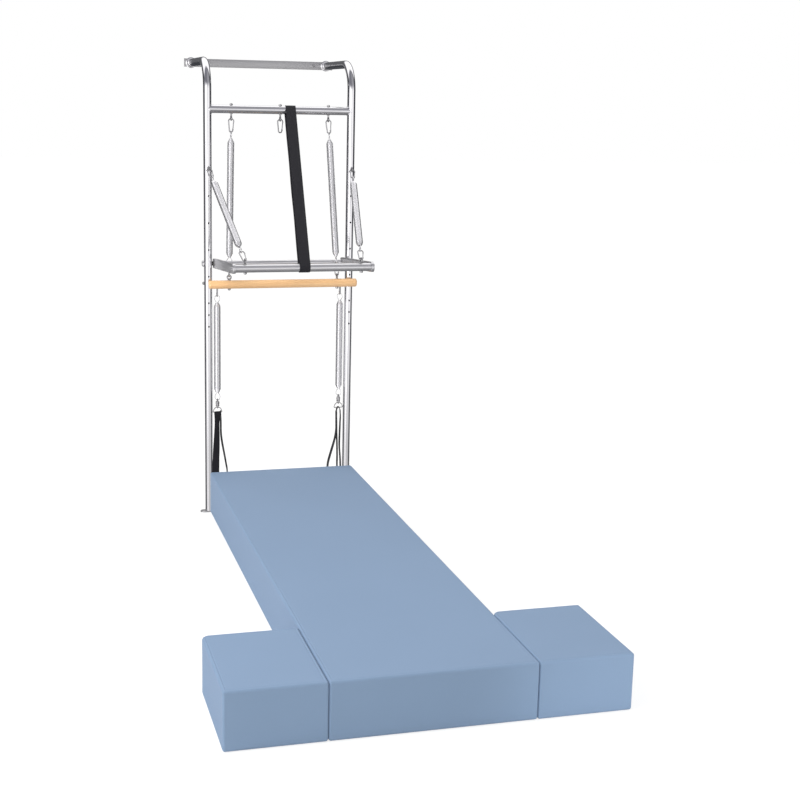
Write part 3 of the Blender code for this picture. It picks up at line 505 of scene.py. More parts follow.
half = [(0, SPIGOT_REACH), (SPIGOT - 0.001, SPIGOT_REACH), (SPIGOT, SPIGOT_REACH - 0.001), (SPIGOT, COLLAR)]
half += [(TUBE - 0.0007, COLLAR), (TUBE, COLLAR - 0.0007)]
ring_mesh = lathed("post_ring", ROUND, both_ends(half))


def plate(name, outline, holes, thickness, bevel):
    """A plate in the XY plane with round holes and eased edges."""
    curve = bpy.data.curves.new(name, "CURVE")
    curve.dimensions = "2D"
    curve.fill_mode = "BOTH"
    curve.extrude = thickness / 2 - bevel
    curve.bevel_depth = bevel
    curve.bevel_resolution = 1
    curve.offset = -bevel
    for ring_points in [outline] + [arc(x, y, radius, 0, math.tau, 33)[:-1] for x, y, radius in holes]:
        line = curve.splines.new("POLY")
        line.points.add(len(ring_points) - 1)
        for point, (x, y) in zip(line.points, ring_points):
            point.co = (x, y, 0, 1)
        line.use_cyclic_u = True
    mesh = evaluated(new_object(name, curve))
    mesh.materials.clear()
    weld(mesh)
    layer = mesh.uv_layers.new(name="run")
    places = [mesh.vertices[loop.vertex_index].co for loop in mesh.loops]
    layer.uv.foreach_set("vector", [number for place in places for number in (place.x + place.z, place.y)])
    mesh.shade_smooth()
    mesh.set_sharp_from_angle(angle=math.radians(30.0))
    return mesh


GREY = steel("grey_steel", 0.48, 0.36, 0.07, 12.0, 0.000005, 0.9)
tab = arc(TAB_REACH, 0, TAB_WIDTH, -QUARTER, QUARTER, 17) + arc(0, 0, TAB_WIDTH, QUARTER, 3 * QUARTER, 17)
tab_mesh = plate("foot_tab", tab, [(0.031, 0, 0.0035)], TAB, 0.0006)

crossbar = Skin()
angles = spokes(ROUND)
circle = TUBE * np.stack([0 * angles, np.cos(angles), np.sin(angles)], axis=1)
saddle = POST_X - np.sqrt(np.maximum((TUBE + GAP) ** 2 - circle[:, 1] ** 2, 0))
shares = np.linspace(-1, 1, 9)
rows = circle + shares[:, None, None] * saddle[:, None] * X
crossbar.grid(rows, np.arange(ROUND + 1) * math.tau * TUBE / ROUND, shares * POST_X, wrap=True)
lumps = 0.0019 + 0.0003 * np.sin(np.arange(ROUND) * 2.4)
for sign in SIDES.values():
    bead = circle * 1.04
    bead[:, 0] = sign * (saddle - 0.0012)
    crossbar.tube(bead, lumps, 8, closed=True)

for side, sign in SIDES.items():
    foot = on_rack(sign * POST_X, 0, 0)
    outward = frame_of(foot + Vector((0, 0, TAB / 2)), Z, (sign, 0, 0))
    upright = Matrix.Translation(foot)
    joint = Matrix.Translation(foot + Vector((0, 0, SEAM)))
    piece(f"{side}_post_tube", lower_mesh, POLISHED, "frame", upright, f"{side}_lower_post")
    piece(f"{side}_post_bend", upper_mesh, POLISHED, "frame", upright, f"{side}_upper_post")
    piece(f"{side}_post_flange", disc_mesh, POLISHED, "frame", upright)
    piece(f"{side}_post_ring", ring_mesh, POLISHED, "frame", joint, f"{side}_post_coupling")
    piece(f"{side}_foot_tab", tab_mesh, GREY, "frame", outward, f"{side}_foot_plate")
cross = Matrix.Translation(on_rack(0, 0, CROSSBAR_HEIGHT))
piece("crossbar_tube", crossbar.mesh("crossbar"), POLISHED, "frame", cross, "crossbar")


# Wall rail. A flat bar of dull grey steel with eased edges, across the wall behind the posts' arms. Two
# round-headed zinc-plated screws hold it there.

RAIL_HALF, RAIL_HIGH, SCREW_SPREAD = 0.379, 0.020, 0.280
outline = [(x * RAIL_HALF, y * RAIL_HIGH) for x, y in ((-1, -1), (1, -1), (1, 1), (-1, 1))]
rail_mesh = plate("rail_bar", outline, [], RAIL_THICKNESS, 0.0008)
rail_place = frame_of(on_rack(0, WALL - RAIL_THICKNESS / 2, ARM_HEIGHT), (0, -1, 0), X)
piece("rail_bar", rail_mesh, GREY, "frame", rail_place, "wall_rail")
dome = [(0, 0.0022), (0.0022, 0.0022), (0.0026, 0.0040), (0.0050, 0.0031), (0.0070, 0.0004)]
screw_mesh = lathed("rail_screw", 24, dome + [(0.0070, -0.001), (0, -0.001)])
ZINC = steel("zinc_steel", 0.46, 0.22, 0.08, 60.0, 0.000008)
for side, sign in SIDES.items():
    head = frame_of(on_rack(sign * SCREW_SPREAD, WALL - RAIL_THICKNESS, ARM_HEIGHT), (0, -1, 0), X)
    piece(f"{side}_rail_screw", screw_mesh, ZINC, "frame", head)


# Eyebolts. Zinc-plated forged eyes with a collar and a round shank, which goes through a tube or through
# the wooden bar and is held by a washer and a nut.

EYE, EYE_WIRE = 0.009, 0.007
NUT, WASHER = 0.0065, 0.0011
SHANK = 0.0040
SHORT_NECK, LONG_NECK, LEG_NECK = 0.014, 0.022, 0.024
HANGING_EYES = 0.233
BAR = 0.020
HANDLE = 0.018


def eyebolt_mesh(neck, grip):
    """An eye at the origin, its shank up through a bar of a given thickness, its washer and its nut."""
    bolt = Skin()
    bolt.tube([(EYE * math.cos(a), 0, EYE * math.sin(a)) for a in spokes(32)], EYE_WIRE / 2, 14, closed=True)
    seat = neck + grip + GAP
    top, washer, tip = seat + NUT, seat + WASHER, seat + NUT + 0.0015
    shank = [(0, 0.0095), (SHANK, 0.0095), (SHANK, top)]
    for thread in (0, 0.0006):
        shank += [(SHANK - 0.0004, top + 0.0004 + thread), (SHANK, top + 0.0007 + thread)]
    bolt.lathe(shank + [(0.0034, tip), (0, tip)], 20)
    collar = [(0.0035, 0.0030), (0.0062, 0.0022), (0.0070, 0.0018), (0.0070, GAP), (0, GAP)]
    bolt.lathe([(r, neck - under) for r, under in collar], 28)
    bolt.lathe([(0, seat), (0.0070, seat), (0.0074, seat + 0.0003), (0.0074, washer), (0, washer)], 28)
    flats = [(0.0070, washer), (0.0075, washer + 0.0006), (0.0075, top - 0.0007), (0.0067, top)]
    bolt.lathe([(0, washer)] + flats + [(0, top)], 6)
    return bolt.mesh("eyebolt")


def crossbar_eye(x):
    return on_rack(x, 0, CROSSBAR_HEIGHT - TUBE - LONG_NECK)


def front_eye(sign):
    return on_rack(sign * POST_X, -TUBE - SHORT_NECK, HOLES[0])


def leg_eye(sign):
    return on_rack(sign * (POST_X - TUBE - LEG_NECK), 0, LEG_EYE_HEIGHT)


hanging = eyebolt_mesh(LONG_NECK, 2 * TUBE)
for name, sign in {"left": -1, "centre": 0, "right": 1}.items():
    place = frame_of(crossbar_eye(sign * HANGING_EYES), Z, Y)
    piece(f"{name}_hanging_eye", hanging, ZINC, "frame", place, f"{name}_crossbar_eyebolt")
close, beside = eyebolt_mesh(SHORT_NECK, 2 * TUBE), eyebolt_mesh(LEG_NECK, 2 * TUBE)
for side, sign in SIDES.items():
    ahead = frame_of(front_eye(sign), Y, Z)
    inward = frame_of(leg_eye(sign), (sign, 0, 0), Z)
    piece(f"{side}_front_eye", close, ZINC, "frame", ahead, f"{side}_front_eyebolt")
    piece(f"{side}_leg_eye", beside, ZINC, "frame", inward, f"{side}_leg_eyebolt")


# Push-through bar. Two satin steel plates turn on bolts through the posts, with a drawn steel handle tube
# bolted between their front ends and a thin tube between them at the pivot.

PUSH_REACH, PUSH_TILT = 0.5515, math.radians(4.3)
SPACER, PLATE, PLATE_ROUND = 0.006, 0.014, 0.0225
PLATE_OUTER = POST_X - TUBE - SPACER
PLATE_INNER = PLATE_OUTER - PLATE
REAR_TUBE, REAR_BORE = 0.0125, 0.0105
HANDLE_EYES = 0.263
PUSH = Matrix.Translation(on_rack(0, 0, PIVOT_HEIGHT)) @ Matrix.Rotation(-PUSH_TILT, 4, "X")
PUSH_UP = PUSH.to_3x3() @ Vector(Z)
PUSH_BACK = PUSH.to_3x3() @ Vector(Y)
SATIN = steel("satin_steel", 0.78, 0.38, 0.10, 14.0, 0.000010, 0.92)
DRAWN = steel("drawn_steel", 0.80, 0.30, 0.08, 8.0, 0.000006, 0.94, "satin_steel")


def push_point(x, y, z):
    return PUSH @ Vector((x, y, z))


def handle_eye(sign):
    return push_point(sign * HANDLE_EYES, -PUSH_REACH, HANDLE + SHORT_NECK)


outline = arc(0, 0, PLATE_ROUND, 0, math.pi, 25) + arc(0, -PUSH_REACH, PLATE_ROUND, math.pi, math.tau, 25)
side_mesh = plate("push_plate", outline, [(0, 0, PIVOT_HOLE), (0, -PUSH_REACH, HOLE)], PLATE, 0.0012)
depth = 2 * TUBE + SPACER + PLATE + 0.016
head = [(0, 0.0062), (0.0046, 0.0062), (0.0050, 0.0098), (0.0095, 0.0100), (0.0132, 0.0088), (0.0150, 0.0062)]
shaft = [(0.0150, GAP), (0.0060, GAP), (0.0060, -depth), (0, -depth)]
pivot_mesh = lathed("pivot_bolt", 36, head + shaft)
top = SPACER - GAP
spacer = [(PIVOT_HOLE, GAP), (0.0094, GAP), (0.0100, 0.0010), (0.0100, 0.0050), (0.0094, top)]
spacer_mesh = lathed("pivot_spacer", 36, spacer + [(PIVOT_HOLE, top)], closed=True)
cap = [(0, 0.0024), (0.0024, 0.0024), (0.0027, 0.0049), (0.0045, 0.0045), (0.0070, 0.0028), (0.0080, 0.0010)]
shaft = [(0.0080, GAP), (SHANK, GAP), (SHANK, -0.024), (0, -0.024)]
button_mesh = lathed("end_bolt", 28, cap + shaft)
handle_eyebolt = eyebolt_mesh(SHORT_NECK, 2 * HANDLE)
PLASTIC = Finish("black_plastic", Specular_IOR_Level=0.4)
speckle = PLASTIC.noise(PLASTIC.spot, (1400.0,) * 3, 2.0)
PLASTIC.wear(PLASTIC.blend(speckle, gray(0.022), gray(0.036)), speckle * 0.15 + 0.38, speckle, 0.00003)
for side, sign in SIDES.items():
    outward = (sign, 0, 0)
    seat = frame_of(on_rack(sign * (POST_X + TUBE), 0, PIVOT_HEIGHT), outward, Z)
    piece(f"{side}_pivot", pivot_mesh, SATIN, "frame", seat, f"{side}_pivot_bolt")
    seat = frame_of(on_rack(sign * PLATE_OUTER, 0, PIVOT_HEIGHT), outward, Z)
    piece(f"{side}_spacer", spacer_mesh, PLASTIC, "frame", seat, f"{side}_pivot_spacer")
    upright = frame_of(push_point(sign * (PLATE_INNER + PLATE / 2), 0, 0), X, -PUSH_UP)
    piece(f"{side}_side_plate", side_mesh, SATIN, "push_bar", upright, f"{side}_push_bar_plate")
    seat = frame_of(push_point(sign * PLATE_OUTER, -PUSH_REACH, 0), outward, PUSH_UP)
    piece(f"{side}_end_button", button_mesh, POLISHED, "push_bar", seat, f"{side}_handle_end_bolt")
    place = frame_of(handle_eye(sign), -PUSH_UP, PUSH_BACK)
    piece(f"{side}_handle_eye", handle_eyebolt, ZINC, "push_bar", place, f"{side}_handle_eyebolt")

end = PLATE_INNER - GAP
for name, y, radius, core, node in (
    ("rear_tube", 0, REAR_TUBE, [(REAR_BORE, 0), (REAR_BORE, end)], "pivot_tube"),
    ("handle_tube", -PUSH_REACH, HANDLE, [(0, end)], "push_bar_handle"),
):
    hollow = len(core) > 1
    half = core + [(radius - 0.0008, end), (radius, end - 0.0008)]
    far_half = [(r, -z) for r, z in reversed(half[1:] if hollow else half)]
    tube_mesh = lathed(name, 40, half + [(radius, 0)] + far_half, closed=hollow)
    lying = frame_of(push_point(0, y, 0), X, PUSH_BACK)
    piece(name, tube_mesh, DRAWN, "push_bar", lying, node)


# Links. Pear-shaped carabiners of zinc-plated wire with a sprung gate, smaller snap hooks of the same
# kind, and the D-rings that the foot straps hang from.

LINK_WIRE, LINK_LENGTH, LINK_WIDE, LINK_NARROW = 0.0055, 0.0615, 0.012, 0.008
SNAP_WIRE, SNAP_LENGTH, SNAP_WIDE, SNAP_NARROW = 0.005, 0.045, 0.009, 0.0065
RING_WIRE, RING_WIDTH, RING_HEIGHT = 0.0045, 0.042, 0.025


def between(start, end, shares):
    """Points at given shares of the way from one point to another."""
    return [tuple(np.add(start, np.subtract(end, start) * share)) for share in shares]


def link_mesh(wire, length, wide, narrow):
    """A closed link that hangs from the origin: bow, back, and a thinner gate with its hinge and nose."""
    link = Skin()
    bow = arc(0, -wide, wide, -0.12, math.pi, 22)
    foot_bow = arc(0, narrow - length, narrow, math.pi, math.tau, 18)
    back = between(bow[-1], foot_bow[0], np.linspace(0.15, 0.85, 6))
    gate = between(foot_bow[-1], bow[0], np.linspace(0.06, 0.97, 24))
    thin = np.full(24, 0.41)
    thin[[0, -5, -4, -3, -2, -1]] = 0.50, 0.47, 0.30, 0.50, 0.50, 0.50
    thick = np.full(len(bow + back + foot_bow), 0.50)
    line = [(x, 0, z) for x, z in bow + back + foot_bow + gate]
    link.tube(line, wire * np.concatenate([thick, thin]), 12, closed=True)
    (x, z), = between(foot_bow[-1], bow[0], [0.10])
    for radius, reach in ((wire * 0.62, wire * 0.50), (wire * 0.28, wire * 0.60)):
        knuckle = both_ends([(0, reach), (radius * 0.8, reach), (radius, reach * 0.8)])
        link.lathe(knuckle, 18, frame_of((x, 0, z), Y, X))
    return link


LOOP_LENGTH = 0.033
SPRING_WIRE = 0.004
EYE_HOOK = EYE - (EYE_WIRE + LINK_WIRE) / 2 - GAP
LINK_HOOK = (LINK_WIRE + SPRING_WIRE) / 2 + GAP
link_shape = link_mesh(LINK_WIRE, LINK_LENGTH, LINK_WIDE, LINK_NARROW).mesh("link")
snap = link_mesh(SNAP_WIRE, SNAP_LENGTH, SNAP_WIDE, SNAP_NARROW)
swivel = [(0, -0.036), (0.0074, -0.036), (0.0092, -0.0348), (0.0092, -0.0305), (0.0072, -0.0296)]
sleeve = [(0.0072, -0.0272), (0.0092, -0.0263), (0.0092, -0.0130), (0.0074, -0.0112), (0, -0.0112)]
snap.lathe(swivel + sleeve, 24)
snap_shape = snap.mesh("snap")
spare = frame_of(crossbar_eye(0) - Vector((0, 0, EYE_HOOK)), Z, X)
piece("spare_link", link_shape, ZINC, "spare_carabiner", spare, "spare_carabiner")


# Springs. Zinc-plated wire wound turn on turn, drawn in to a point at both ends, with a round loop
# at each end for the links.

COIL, COIL_END = 0.0145, 0.0026
PITCH = 0.00404
CONE = 0.022
LOOP_WIDTH = 0.025
LEG_COIL = 0.447
EASE = 3.0


def loop_points(turned):
    """An end loop that leaves the coil's axis at the origin and rises along Z."""
    angles = np.linspace(math.radians(22), math.radians(338), 29)
    side, up_by = LOOP_WIDTH / 2 * np.sin(angles), LOOP_LENGTH / 2 * (1 - np.cos(angles))
    return np.stack([side * math.cos(turned), side * math.sin(turned), up_by], axis=1)


SPRING = steel("spring_steel", 0.94, 0.20, 0.04, 30.0, 0.000004, 0.92, "zinc_steel")


def ease_normals(mesh, length):
    """Turns a coil's outer normals toward its radius, so that it mirrors the room in calm stripes."""
    normals = []
    for vertex in mesh.vertices:
        normal = vertex.normal.copy()
        away = Vector((vertex.co.x, vertex.co.y, 0))
        if 0 < vertex.co.z < length and away.length > 0.004:
            away.normalize()
            normal += EASE * max(0.0, normal.dot(away)) * away
        normals.append(normal.normalized())
    mesh.normals_split_custom_set_from_vertices(normals)


def spring_mesh(length, bottom_turn, top_turn):
    """One wire: bottom loop, a close coil with a cone at both ends, and top loop."""
    turns = round((length - SPRING_WIRE) / PITCH)
    steps = np.arange(turns * 16 + 1) / 16
    height = SPRING_WIRE / 2 + (length - SPRING_WIRE) * steps / turns
    share = np.clip(np.minimum(height, length - height) / CONE, 0, 1)
    radius = COIL_END + (COIL - COIL_END) * share ** 0.8
    angle = math.tau * steps
    coil = np.stack([radius * np.cos(angle), radius * np.sin(angle), height], axis=1)
    bottom = loop_points(bottom_turn)[::-1] * (1, 1, -1)
    top_loop = loop_points(top_turn) + (0, 0, length)
    spring = Skin()
    spring.tube(np.concatenate([bottom, coil, top_loop]), SPRING_WIRE / 2, 7)
    mesh = spring.mesh("spring", 60.0)
    ease_normals(mesh, length)
    return mesh


def hang_spring(name, low, high, turns, node):
    """A spring whose coil runs between two points; it is put on no body."""
    mesh = spring_mesh((high - low).length, *turns)
    spring = piece(name, mesh, SPRING, None, frame_of(low, high - low, X), node)
    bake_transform(spring)


def hang_chain(spring, eyes, turns, bodies):
    """Link, spring and link between an upper and a lower eye, on one straight line."""
    down = (eyes[1] - eyes[0]).normalized()
    first = eyes[0] + EYE_HOOK * down
    last = eyes[1] - (EYE_HOOK + LINK_LENGTH) * down
    high = first + (LINK_LENGTH - LINK_HOOK + LOOP_LENGTH) * down
    low = last + (LINK_HOOK - LOOP_LENGTH) * down
    for end, point, turned, body in (("top", first, turns[0], bodies[0]), ("low", last, turns[3], bodies[1])):
        node = f"{spring}_{end}_carabiner"
        piece(f"{node}_link", link_shape, ZINC, body, frame_of(point, -down, X, turned), node)
    hang_spring(f"{spring}_coil", low, high, (turns[2], turns[1]), spring)


for side, sign in SIDES.items():
    eyes = front_eye(sign), handle_eye(sign)
    hang_chain(f"{side}_push_spring", eyes, (0, QUARTER, QUARTER, 0), ("frame", "push_bar"))

BAR_HEIGHT = LEG_EYE_HEIGHT - 0.003
BAR_BACK = TUBE + BAR + GAP
BAR_EYES = 0.2635
BAR_MIDDLE = on_rack(0.0135, -BAR_BACK, BAR_HEIGHT)
ROLL_TOP = crossbar_eye(0).z - EYE_HOOK
ROLL_LEAN = math.atan2(BAR_BACK, ROLL_TOP - BAR_HEIGHT)
ROLL_DOWN = Vector((0, -math.sin(ROLL_LEAN), -math.cos(ROLL_LEAN)))
bar_eyebolt = eyebolt_mesh(SHORT_NECK, 2 * BAR)
LONG_TURNS = {"left": (0, QUARTER, 0, QUARTER), "right": (0, 0.8 * QUARTER, QUARTER, 0)}
for side, sign in SIDES.items():
    turns = LONG_TURNS[side]
    eye = BAR_MIDDLE + Vector((sign * BAR_EYES, 0, 0)) - (BAR + SHORT_NECK) * ROLL_DOWN
    place = frame_of(eye, ROLL_DOWN, X, turns[3] + QUARTER)
    piece(f"{side}_bar_eye", bar_eyebolt, ZINC, "roll_down", place, f"{side}_bar_eyebolt")
    eyes = crossbar_eye(sign * HANGING_EYES), eye
    hang_chain(f"{side}_long_spring", eyes, turns, ("long_springs", "roll_down"))

LEG_FIRST = LEG_EYE_HEIGHT - EYE_HOOK
LEG_TOP = LEG_FIRST - LINK_LENGTH + LINK_HOOK - LOOP_LENGTH
LEG_BOTTOM = LEG_TOP - LEG_COIL
SNAP_TOP = LEG_BOTTOM - LOOP_LENGTH + (SPRING_WIRE + SNAP_WIRE) / 2 + GAP
RING_TOP = SNAP_TOP - SNAP_LENGTH + (SNAP_WIRE + RING_WIRE) / 2 + GAP
RING_BAR = RING_TOP - RING_HEIGHT

d_ring = Skin()
bow = arc(0, 0, 1, -0.15, math.pi + 0.15, 33)
bow_line = [(RING_WIDTH / 2 * x, 0, RING_HEIGHT * (max(z, 0) - 1)) for x, z in bow]
for end in (0, -1):
    bow_line[end] = (0.9 * bow_line[end][0], 0, -RING_HEIGHT)
bow_line += [(x, 0, -RING_HEIGHT) for x in np.linspace(-0.016, 0.016, 6)]
d_ring.tube(bow_line, RING_WIRE / 2, 12, closed=True)
ring_shape = d_ring.mesh("d_ring")


def hung(eye, height, turned=0.0):
    """The place of a part that hangs plumb under an eye."""
    return Matrix.Translation((eye.x, eye.y, height)) @ Matrix.Rotation(turned, 4, "Z")


for side, sign in SIDES.items():
    eye = leg_eye(sign)
    spring, end = f"{side}_leg_spring", f"{side}_leg_end"
    low, high = Vector((eye.x, eye.y, LEG_BOTTOM)), Vector((eye.x, eye.y, LEG_TOP))
    node = f"{spring}_carabiner"
    piece(f"{node}_link", link_shape, ZINC, spring, hung(eye, LEG_FIRST, QUARTER), node)
    hang_spring(f"{side}_leg_coil", low, high, (0, 0), spring)
    piece(f"{side}_snap", snap_shape, ZINC, end, hung(eye, SNAP_TOP, QUARTER), f"{side}_snap_hook")
    piece(f"{side}_ring", ring_shape, ZINC, end, hung(eye, RING_TOP), f"{side}_d_ring")


# Roll-down bar. A turned maple bar with eased ends under a clear satin varnish. Its two eyebolts go
# through it and hang it from the long springs.

MAPLE = Finish("maple", Coat_Roughness=0.12, Coat_Weight=0.25, Specular_IOR_Level=0.45)
across_grain = MAPLE.noise(MAPLE.spot, (70.0, 70.0, 2.2), 3.0)
figure = MAPLE.noise(MAPLE.spot, (190.0, 190.0, 5.0), 4.0)
pores = MAPLE.noise(MAPLE.spot, (1500.0, 1500.0, 40.0), 1.0)
stops = [(0.30, (0.80, 0.46, 0.215)), (0.50, (0.90, 0.55, 0.275)), (0.70, (0.94, 0.61, 0.33))]
tint = MAPLE.add("ShaderNodeValToRGB", {0: across_grain * 0.62 + figure * 0.38}, stops=stops)
flecks = MAPLE.fade(pores, 0.36, 0.24)
color = MAPLE.blend(flecks * 0.35, tint, (0.52, 0.29, 0.12, 1.0))
MAPLE.wear(color, figure * 0.10 + flecks * 0.1 + 0.30, figure - flecks * 0.6, 0.00004)
BAR_END, BAR_ROLL = 0.361, 0.008
half = [(0, BAR_END), (0.006, BAR_END)]
half += arc(BAR - BAR_ROLL, BAR_END - BAR_ROLL, BAR_ROLL, QUARTER, 0, 9)
lying = frame_of(BAR_MIDDLE, X, ROLL_DOWN)
bar_mesh = lathed("wooden_bar", ROUND, both_ends(half), sharp=50.0)
piece("wooden_bar", bar_mesh, MAPLE, "roll_down", lying, "roll_down_bar")


# Webbing. Black nylon, woven in fine ribs and picks. The safety strap is one closed loop round the
# crossbar and the handle. From each D-ring hangs a foot strap: a long loop, and a strip that bows out.

BELT_WIDTH, BELT = 0.048, 0.0025
FOOT_WIDTH, FOOT_BELT = 0.034, 0.0024
RIB, PICK = 0.0032, 0.0024
WEBBING = Finish("black_webbing", Specular_IOR_Level=0.25, Sheen_Weight=0.08, Sheen_Roughness=0.5)
over, length_way, _ = WEBBING.parts(WEBBING.run)
ribs = WEBBING.math("SINE", over * (math.tau / RIB))
picks = WEBBING.math("SINE", length_way * (math.tau / PICK) + ribs * 1.2)
fuzz = WEBBING.noise(WEBBING.spot, (700.0,) * 3, 3.0)
weave = picks * 0.32 + ribs * 0.18 + 0.5
color = WEBBING.blend(weave * 0.7 + fuzz * 0.3, (0.006, 0.006, 0.008, 1.0), (0.021, 0.020, 0.026, 1.0))
WEBBING.wear(color, fuzz * 0.2 + 0.62, weave + fuzz * 0.3, 0.00035)


def band(skin, line, ways, width, thickness, closed=True):
    """A strap along a line of points, with its width along a direction given at each point."""
    line, ways = np.asarray(line, float), np.asarray(ways, float)
    step = np.roll(line, -1, axis=0) - np.roll(line, 1, axis=0)
    if not closed:
        step[0], step[-1] = line[1] - line[0], line[-1] - line[-2]
    step = unit(step)
    ways = unit(ways - (ways * step).sum(axis=1)[:, None] * step)
    outs = np.cross(step, ways)
    half, thick = width / 2, thickness / 2
    upper = [(x, 1.0) for x in np.linspace(-half + 0.003, half - 0.003, 9)]
    upper += [(half - 0.0006, 1.0), (half, 0.5), (half, -0.5), (half - 0.0006, -1.0)]
    section = np.array(upper + [(-x, -y) for x, y in upper])
    rows = line[:, None] + section[:, :1] * ways[:, None] + thick * section[:, 1:] * outs[:, None]
    runs = np.linalg.norm(np.roll(line, -1, axis=0) - line, axis=1)
    across = np.concatenate([section[:, 0], section[:1, 0]])
    along = np.concatenate([[0], np.cumsum(runs)])
    if not closed:
        rows, along = capped(line, rows, along, thick, thick)
    skin.grid(rows, across, along, True, closed)


top_bar = on_rack(0, 0, CROSSBAR_HEIGHT)
low_bar = push_point(0, -PUSH_REACH, 0)
down = (low_bar - top_bar).normalized()
out = down.cross(Vector(X))
reach = (low_bar - top_bar).length
over_top = TUBE + 2 * GAP + BELT / 2
under_low = HANDLE + 2 * GAP + BELT / 2
belt = []
for angle in np.linspace(-QUARTER, QUARTER, 19):
    belt.append(top_bar + over_top * (math.sin(angle) * out - math.cos(angle) * down))
for share in np.linspace(0, 1, 42)[1:-1]:
    belt.append(top_bar.lerp(low_bar, share) + out * (over_top + (under_low - over_top) * share))
for angle in np.linspace(QUARTER, -QUARTER, 19):
    belt.append(low_bar + under_low * (math.sin(angle) * out + math.cos(angle) * down))
for share in np.linspace(1, 0, 42)[1:-1]:
    slack = 0.0035 * math.sin(math.pi * share) * math.sin(5 * math.pi * share)
    belt.append(top_bar.lerp(low_bar, share) - out * (over_top + (under_low - over_top) * share + slack))
for point in belt:
    point.x = RACK.x + 0.047 - 0.044 * (point - top_bar).dot(down) / reach
strap = Skin()
band(strap, belt, [X] * len(belt), BELT_WIDTH, BELT)
safety = piece("safety_belt", strap.mesh("safety_belt", 50.0), WEBBING, None, None, "safety_strap")
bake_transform(safety)


def smooth_line(keys, count):
    """Points on a smooth curve through rows of keys, by cubic Hermite pieces."""
    keys = np.array(keys, float)
    knots = np.concatenate([[0], np.cumsum(np.linalg.norm(np.diff(keys[:, :3], axis=0), axis=1))])
    slopes = np.gradient(keys, knots, axis=0)
    result = []
    for at in np.linspace(0, knots[-1], count):
        i = min(int(np.searchsorted(knots, at, side="right")) - 1, len(knots) - 2)
        span = knots[i + 1] - knots[i]
        t = (at - knots[i]) / span
        a, b = 2 * t**3 - 3 * t**2 + 1, t**3 - 2 * t**2 + t
        c, d = -2 * t**3 + 3 * t**2, t**3 - t**2
        result.append(a * keys[i] + b * span * slopes[i] + c * keys[i + 1] + d * span * slopes[i + 1])
    return np.array(result)


def web(skin, side, keys, count):
    """A strip of webbing through keys: millimetres from the ring's bar, and a facing in degrees."""
    rows = smooth_line(keys, count)
    eye = leg_eye(SIDES[side])
    points = rows[:, :3] / 1000 + (eye.x, eye.y, RING_BAR)
    turns = np.radians(rows[:, 3])
    ways = np.stack([np.cos(turns), np.sin(turns), 0 * turns], axis=1)
    band(skin, points, ways, FOOT_WIDTH, FOOT_BELT, False)


STRAPS = {
    "left": [
        [(1, -1.2, 3, 4), (1, -4.6, -1, 6), (-1, -5, -20, 24), (-3, -5.6, -45, 40), (-4, -6, -80, 38),
         (-5, -7, -130, 28), (-8, -10, -200, 16), (-13.5, -15, -280, 3), (-13.5, -12, -325, 3),
         (-12, 0, -349, 3), (-8, 12, -330, 4), (-7, 13, -290, 6), (-6, 8, -200, 16), (-3, 5.6, -100, 34),
         (-2, 5.6, -45, 40), (0, 5, -20, 24), (1, 4.6, -1, 4), (1, 1.2, 3, 4)],
        [(15, 14, 2, 69), (17.5, 14, -50, 68), (19, 14, -115, 69), (24.5, 12, -160, 70), (32.5, 10, -205, 71),
         (42, 9, -260, 72), (48, 9, -300, 74), (47, 10, -330, 78), (34, 11, -347, 84), (14, 12, -344, 86)],
    ],
    "right": [
        [(1, -1.2, 3, 80), (-4.6, 0, -1, 82), (-7.8, 0, -30, 84), (-7.2, 0, -70, 86), (-6.6, 0, -120, 88),
         (-4, 0, -180, 88), (-2.2, 0, -250, 88), (-2, 0, -300, 88), (2, 0, -338, 88), (8, 0, -349, 88),
         (13.5, 0, -336, 88), (14.6, 0, -290, 88), (11.8, 0, -240, 88), (8.6, 0, -200, 88), (9, 0, -140, 88),
         (10.4, 0, -80, 86), (10.6, 0, -30, 84), (4.6, 0, -1, 82), (-1, 1.2, 3, 80)],
        [(-10.8, 0, -20, 86), (-10.2, 0, -70, 86), (-9.8, 0, -118, 88), (-16, 0, -160, 88),
         (-28, 0, -205, 90), (-41, 0, -250, 90), (-50, 0, -290, 90), (-50, 0, -320, 90), (-40, 0, -343, 90),
         (-16, 0, -346, 90)],
    ],
}
for side in SIDES:
    loop = Skin()
    for keys, count in zip(STRAPS[side], (120, 60)):
        web(loop, side, keys, count)
    name = f"{side}_foot_strap"
    hanging_strap = piece(f"{side}_foot_loop", loop.mesh("foot_loop", 50.0), WEBBING, name, None, name)
    hanging_strap.visible_glossy = False


# Mat and side blocks. Firm foam in taut blue vinyl with rounded corners. The top panel is sewn to the
# side band a little inside the upper edge, so the seam shows as a faint line beside a soft roll.

MAT_SIZE = Vector((0.711, 2.530, 0.205))
BLOCK_SIZE = Vector((0.3388, 0.470, 0.205))
BLOCK_GAP = 0.0005
CORNER, BACK_CORNER = 0.008, 0.030
ROLL_IN, ROLL_FALL, FOOT_ROLL = 0.008, 0.012, 0.010
SEAM_INSET, SEAM_DEPTH, SEAM_REACH = 0.0125, 0.0010, 0.0017
CROWN, PUCKER, SIDE_HOLLOW, END_HOLLOW = 0.0015, 0.0006, 0.0012, 0.0025
MAT_BACK = RACK.y - TUBE - BLOCK_GAP
VINYL = Finish("blue_vinyl", Specular_IOR_Level=0.16, Sheen_Weight=0.04, Sheen_Roughness=0.5)
fine = {"Vector": VINYL.spot, "Scale": 420.0}
cells = VINYL.add("ShaderNodeTexVoronoi", fine, feature="DISTANCE_TO_EDGE")
cloud = VINYL.noise(VINYL.spot, (3.0,) * 3, 3.0)
grain = VINYL.fade(cells, 0.0, 0.22)
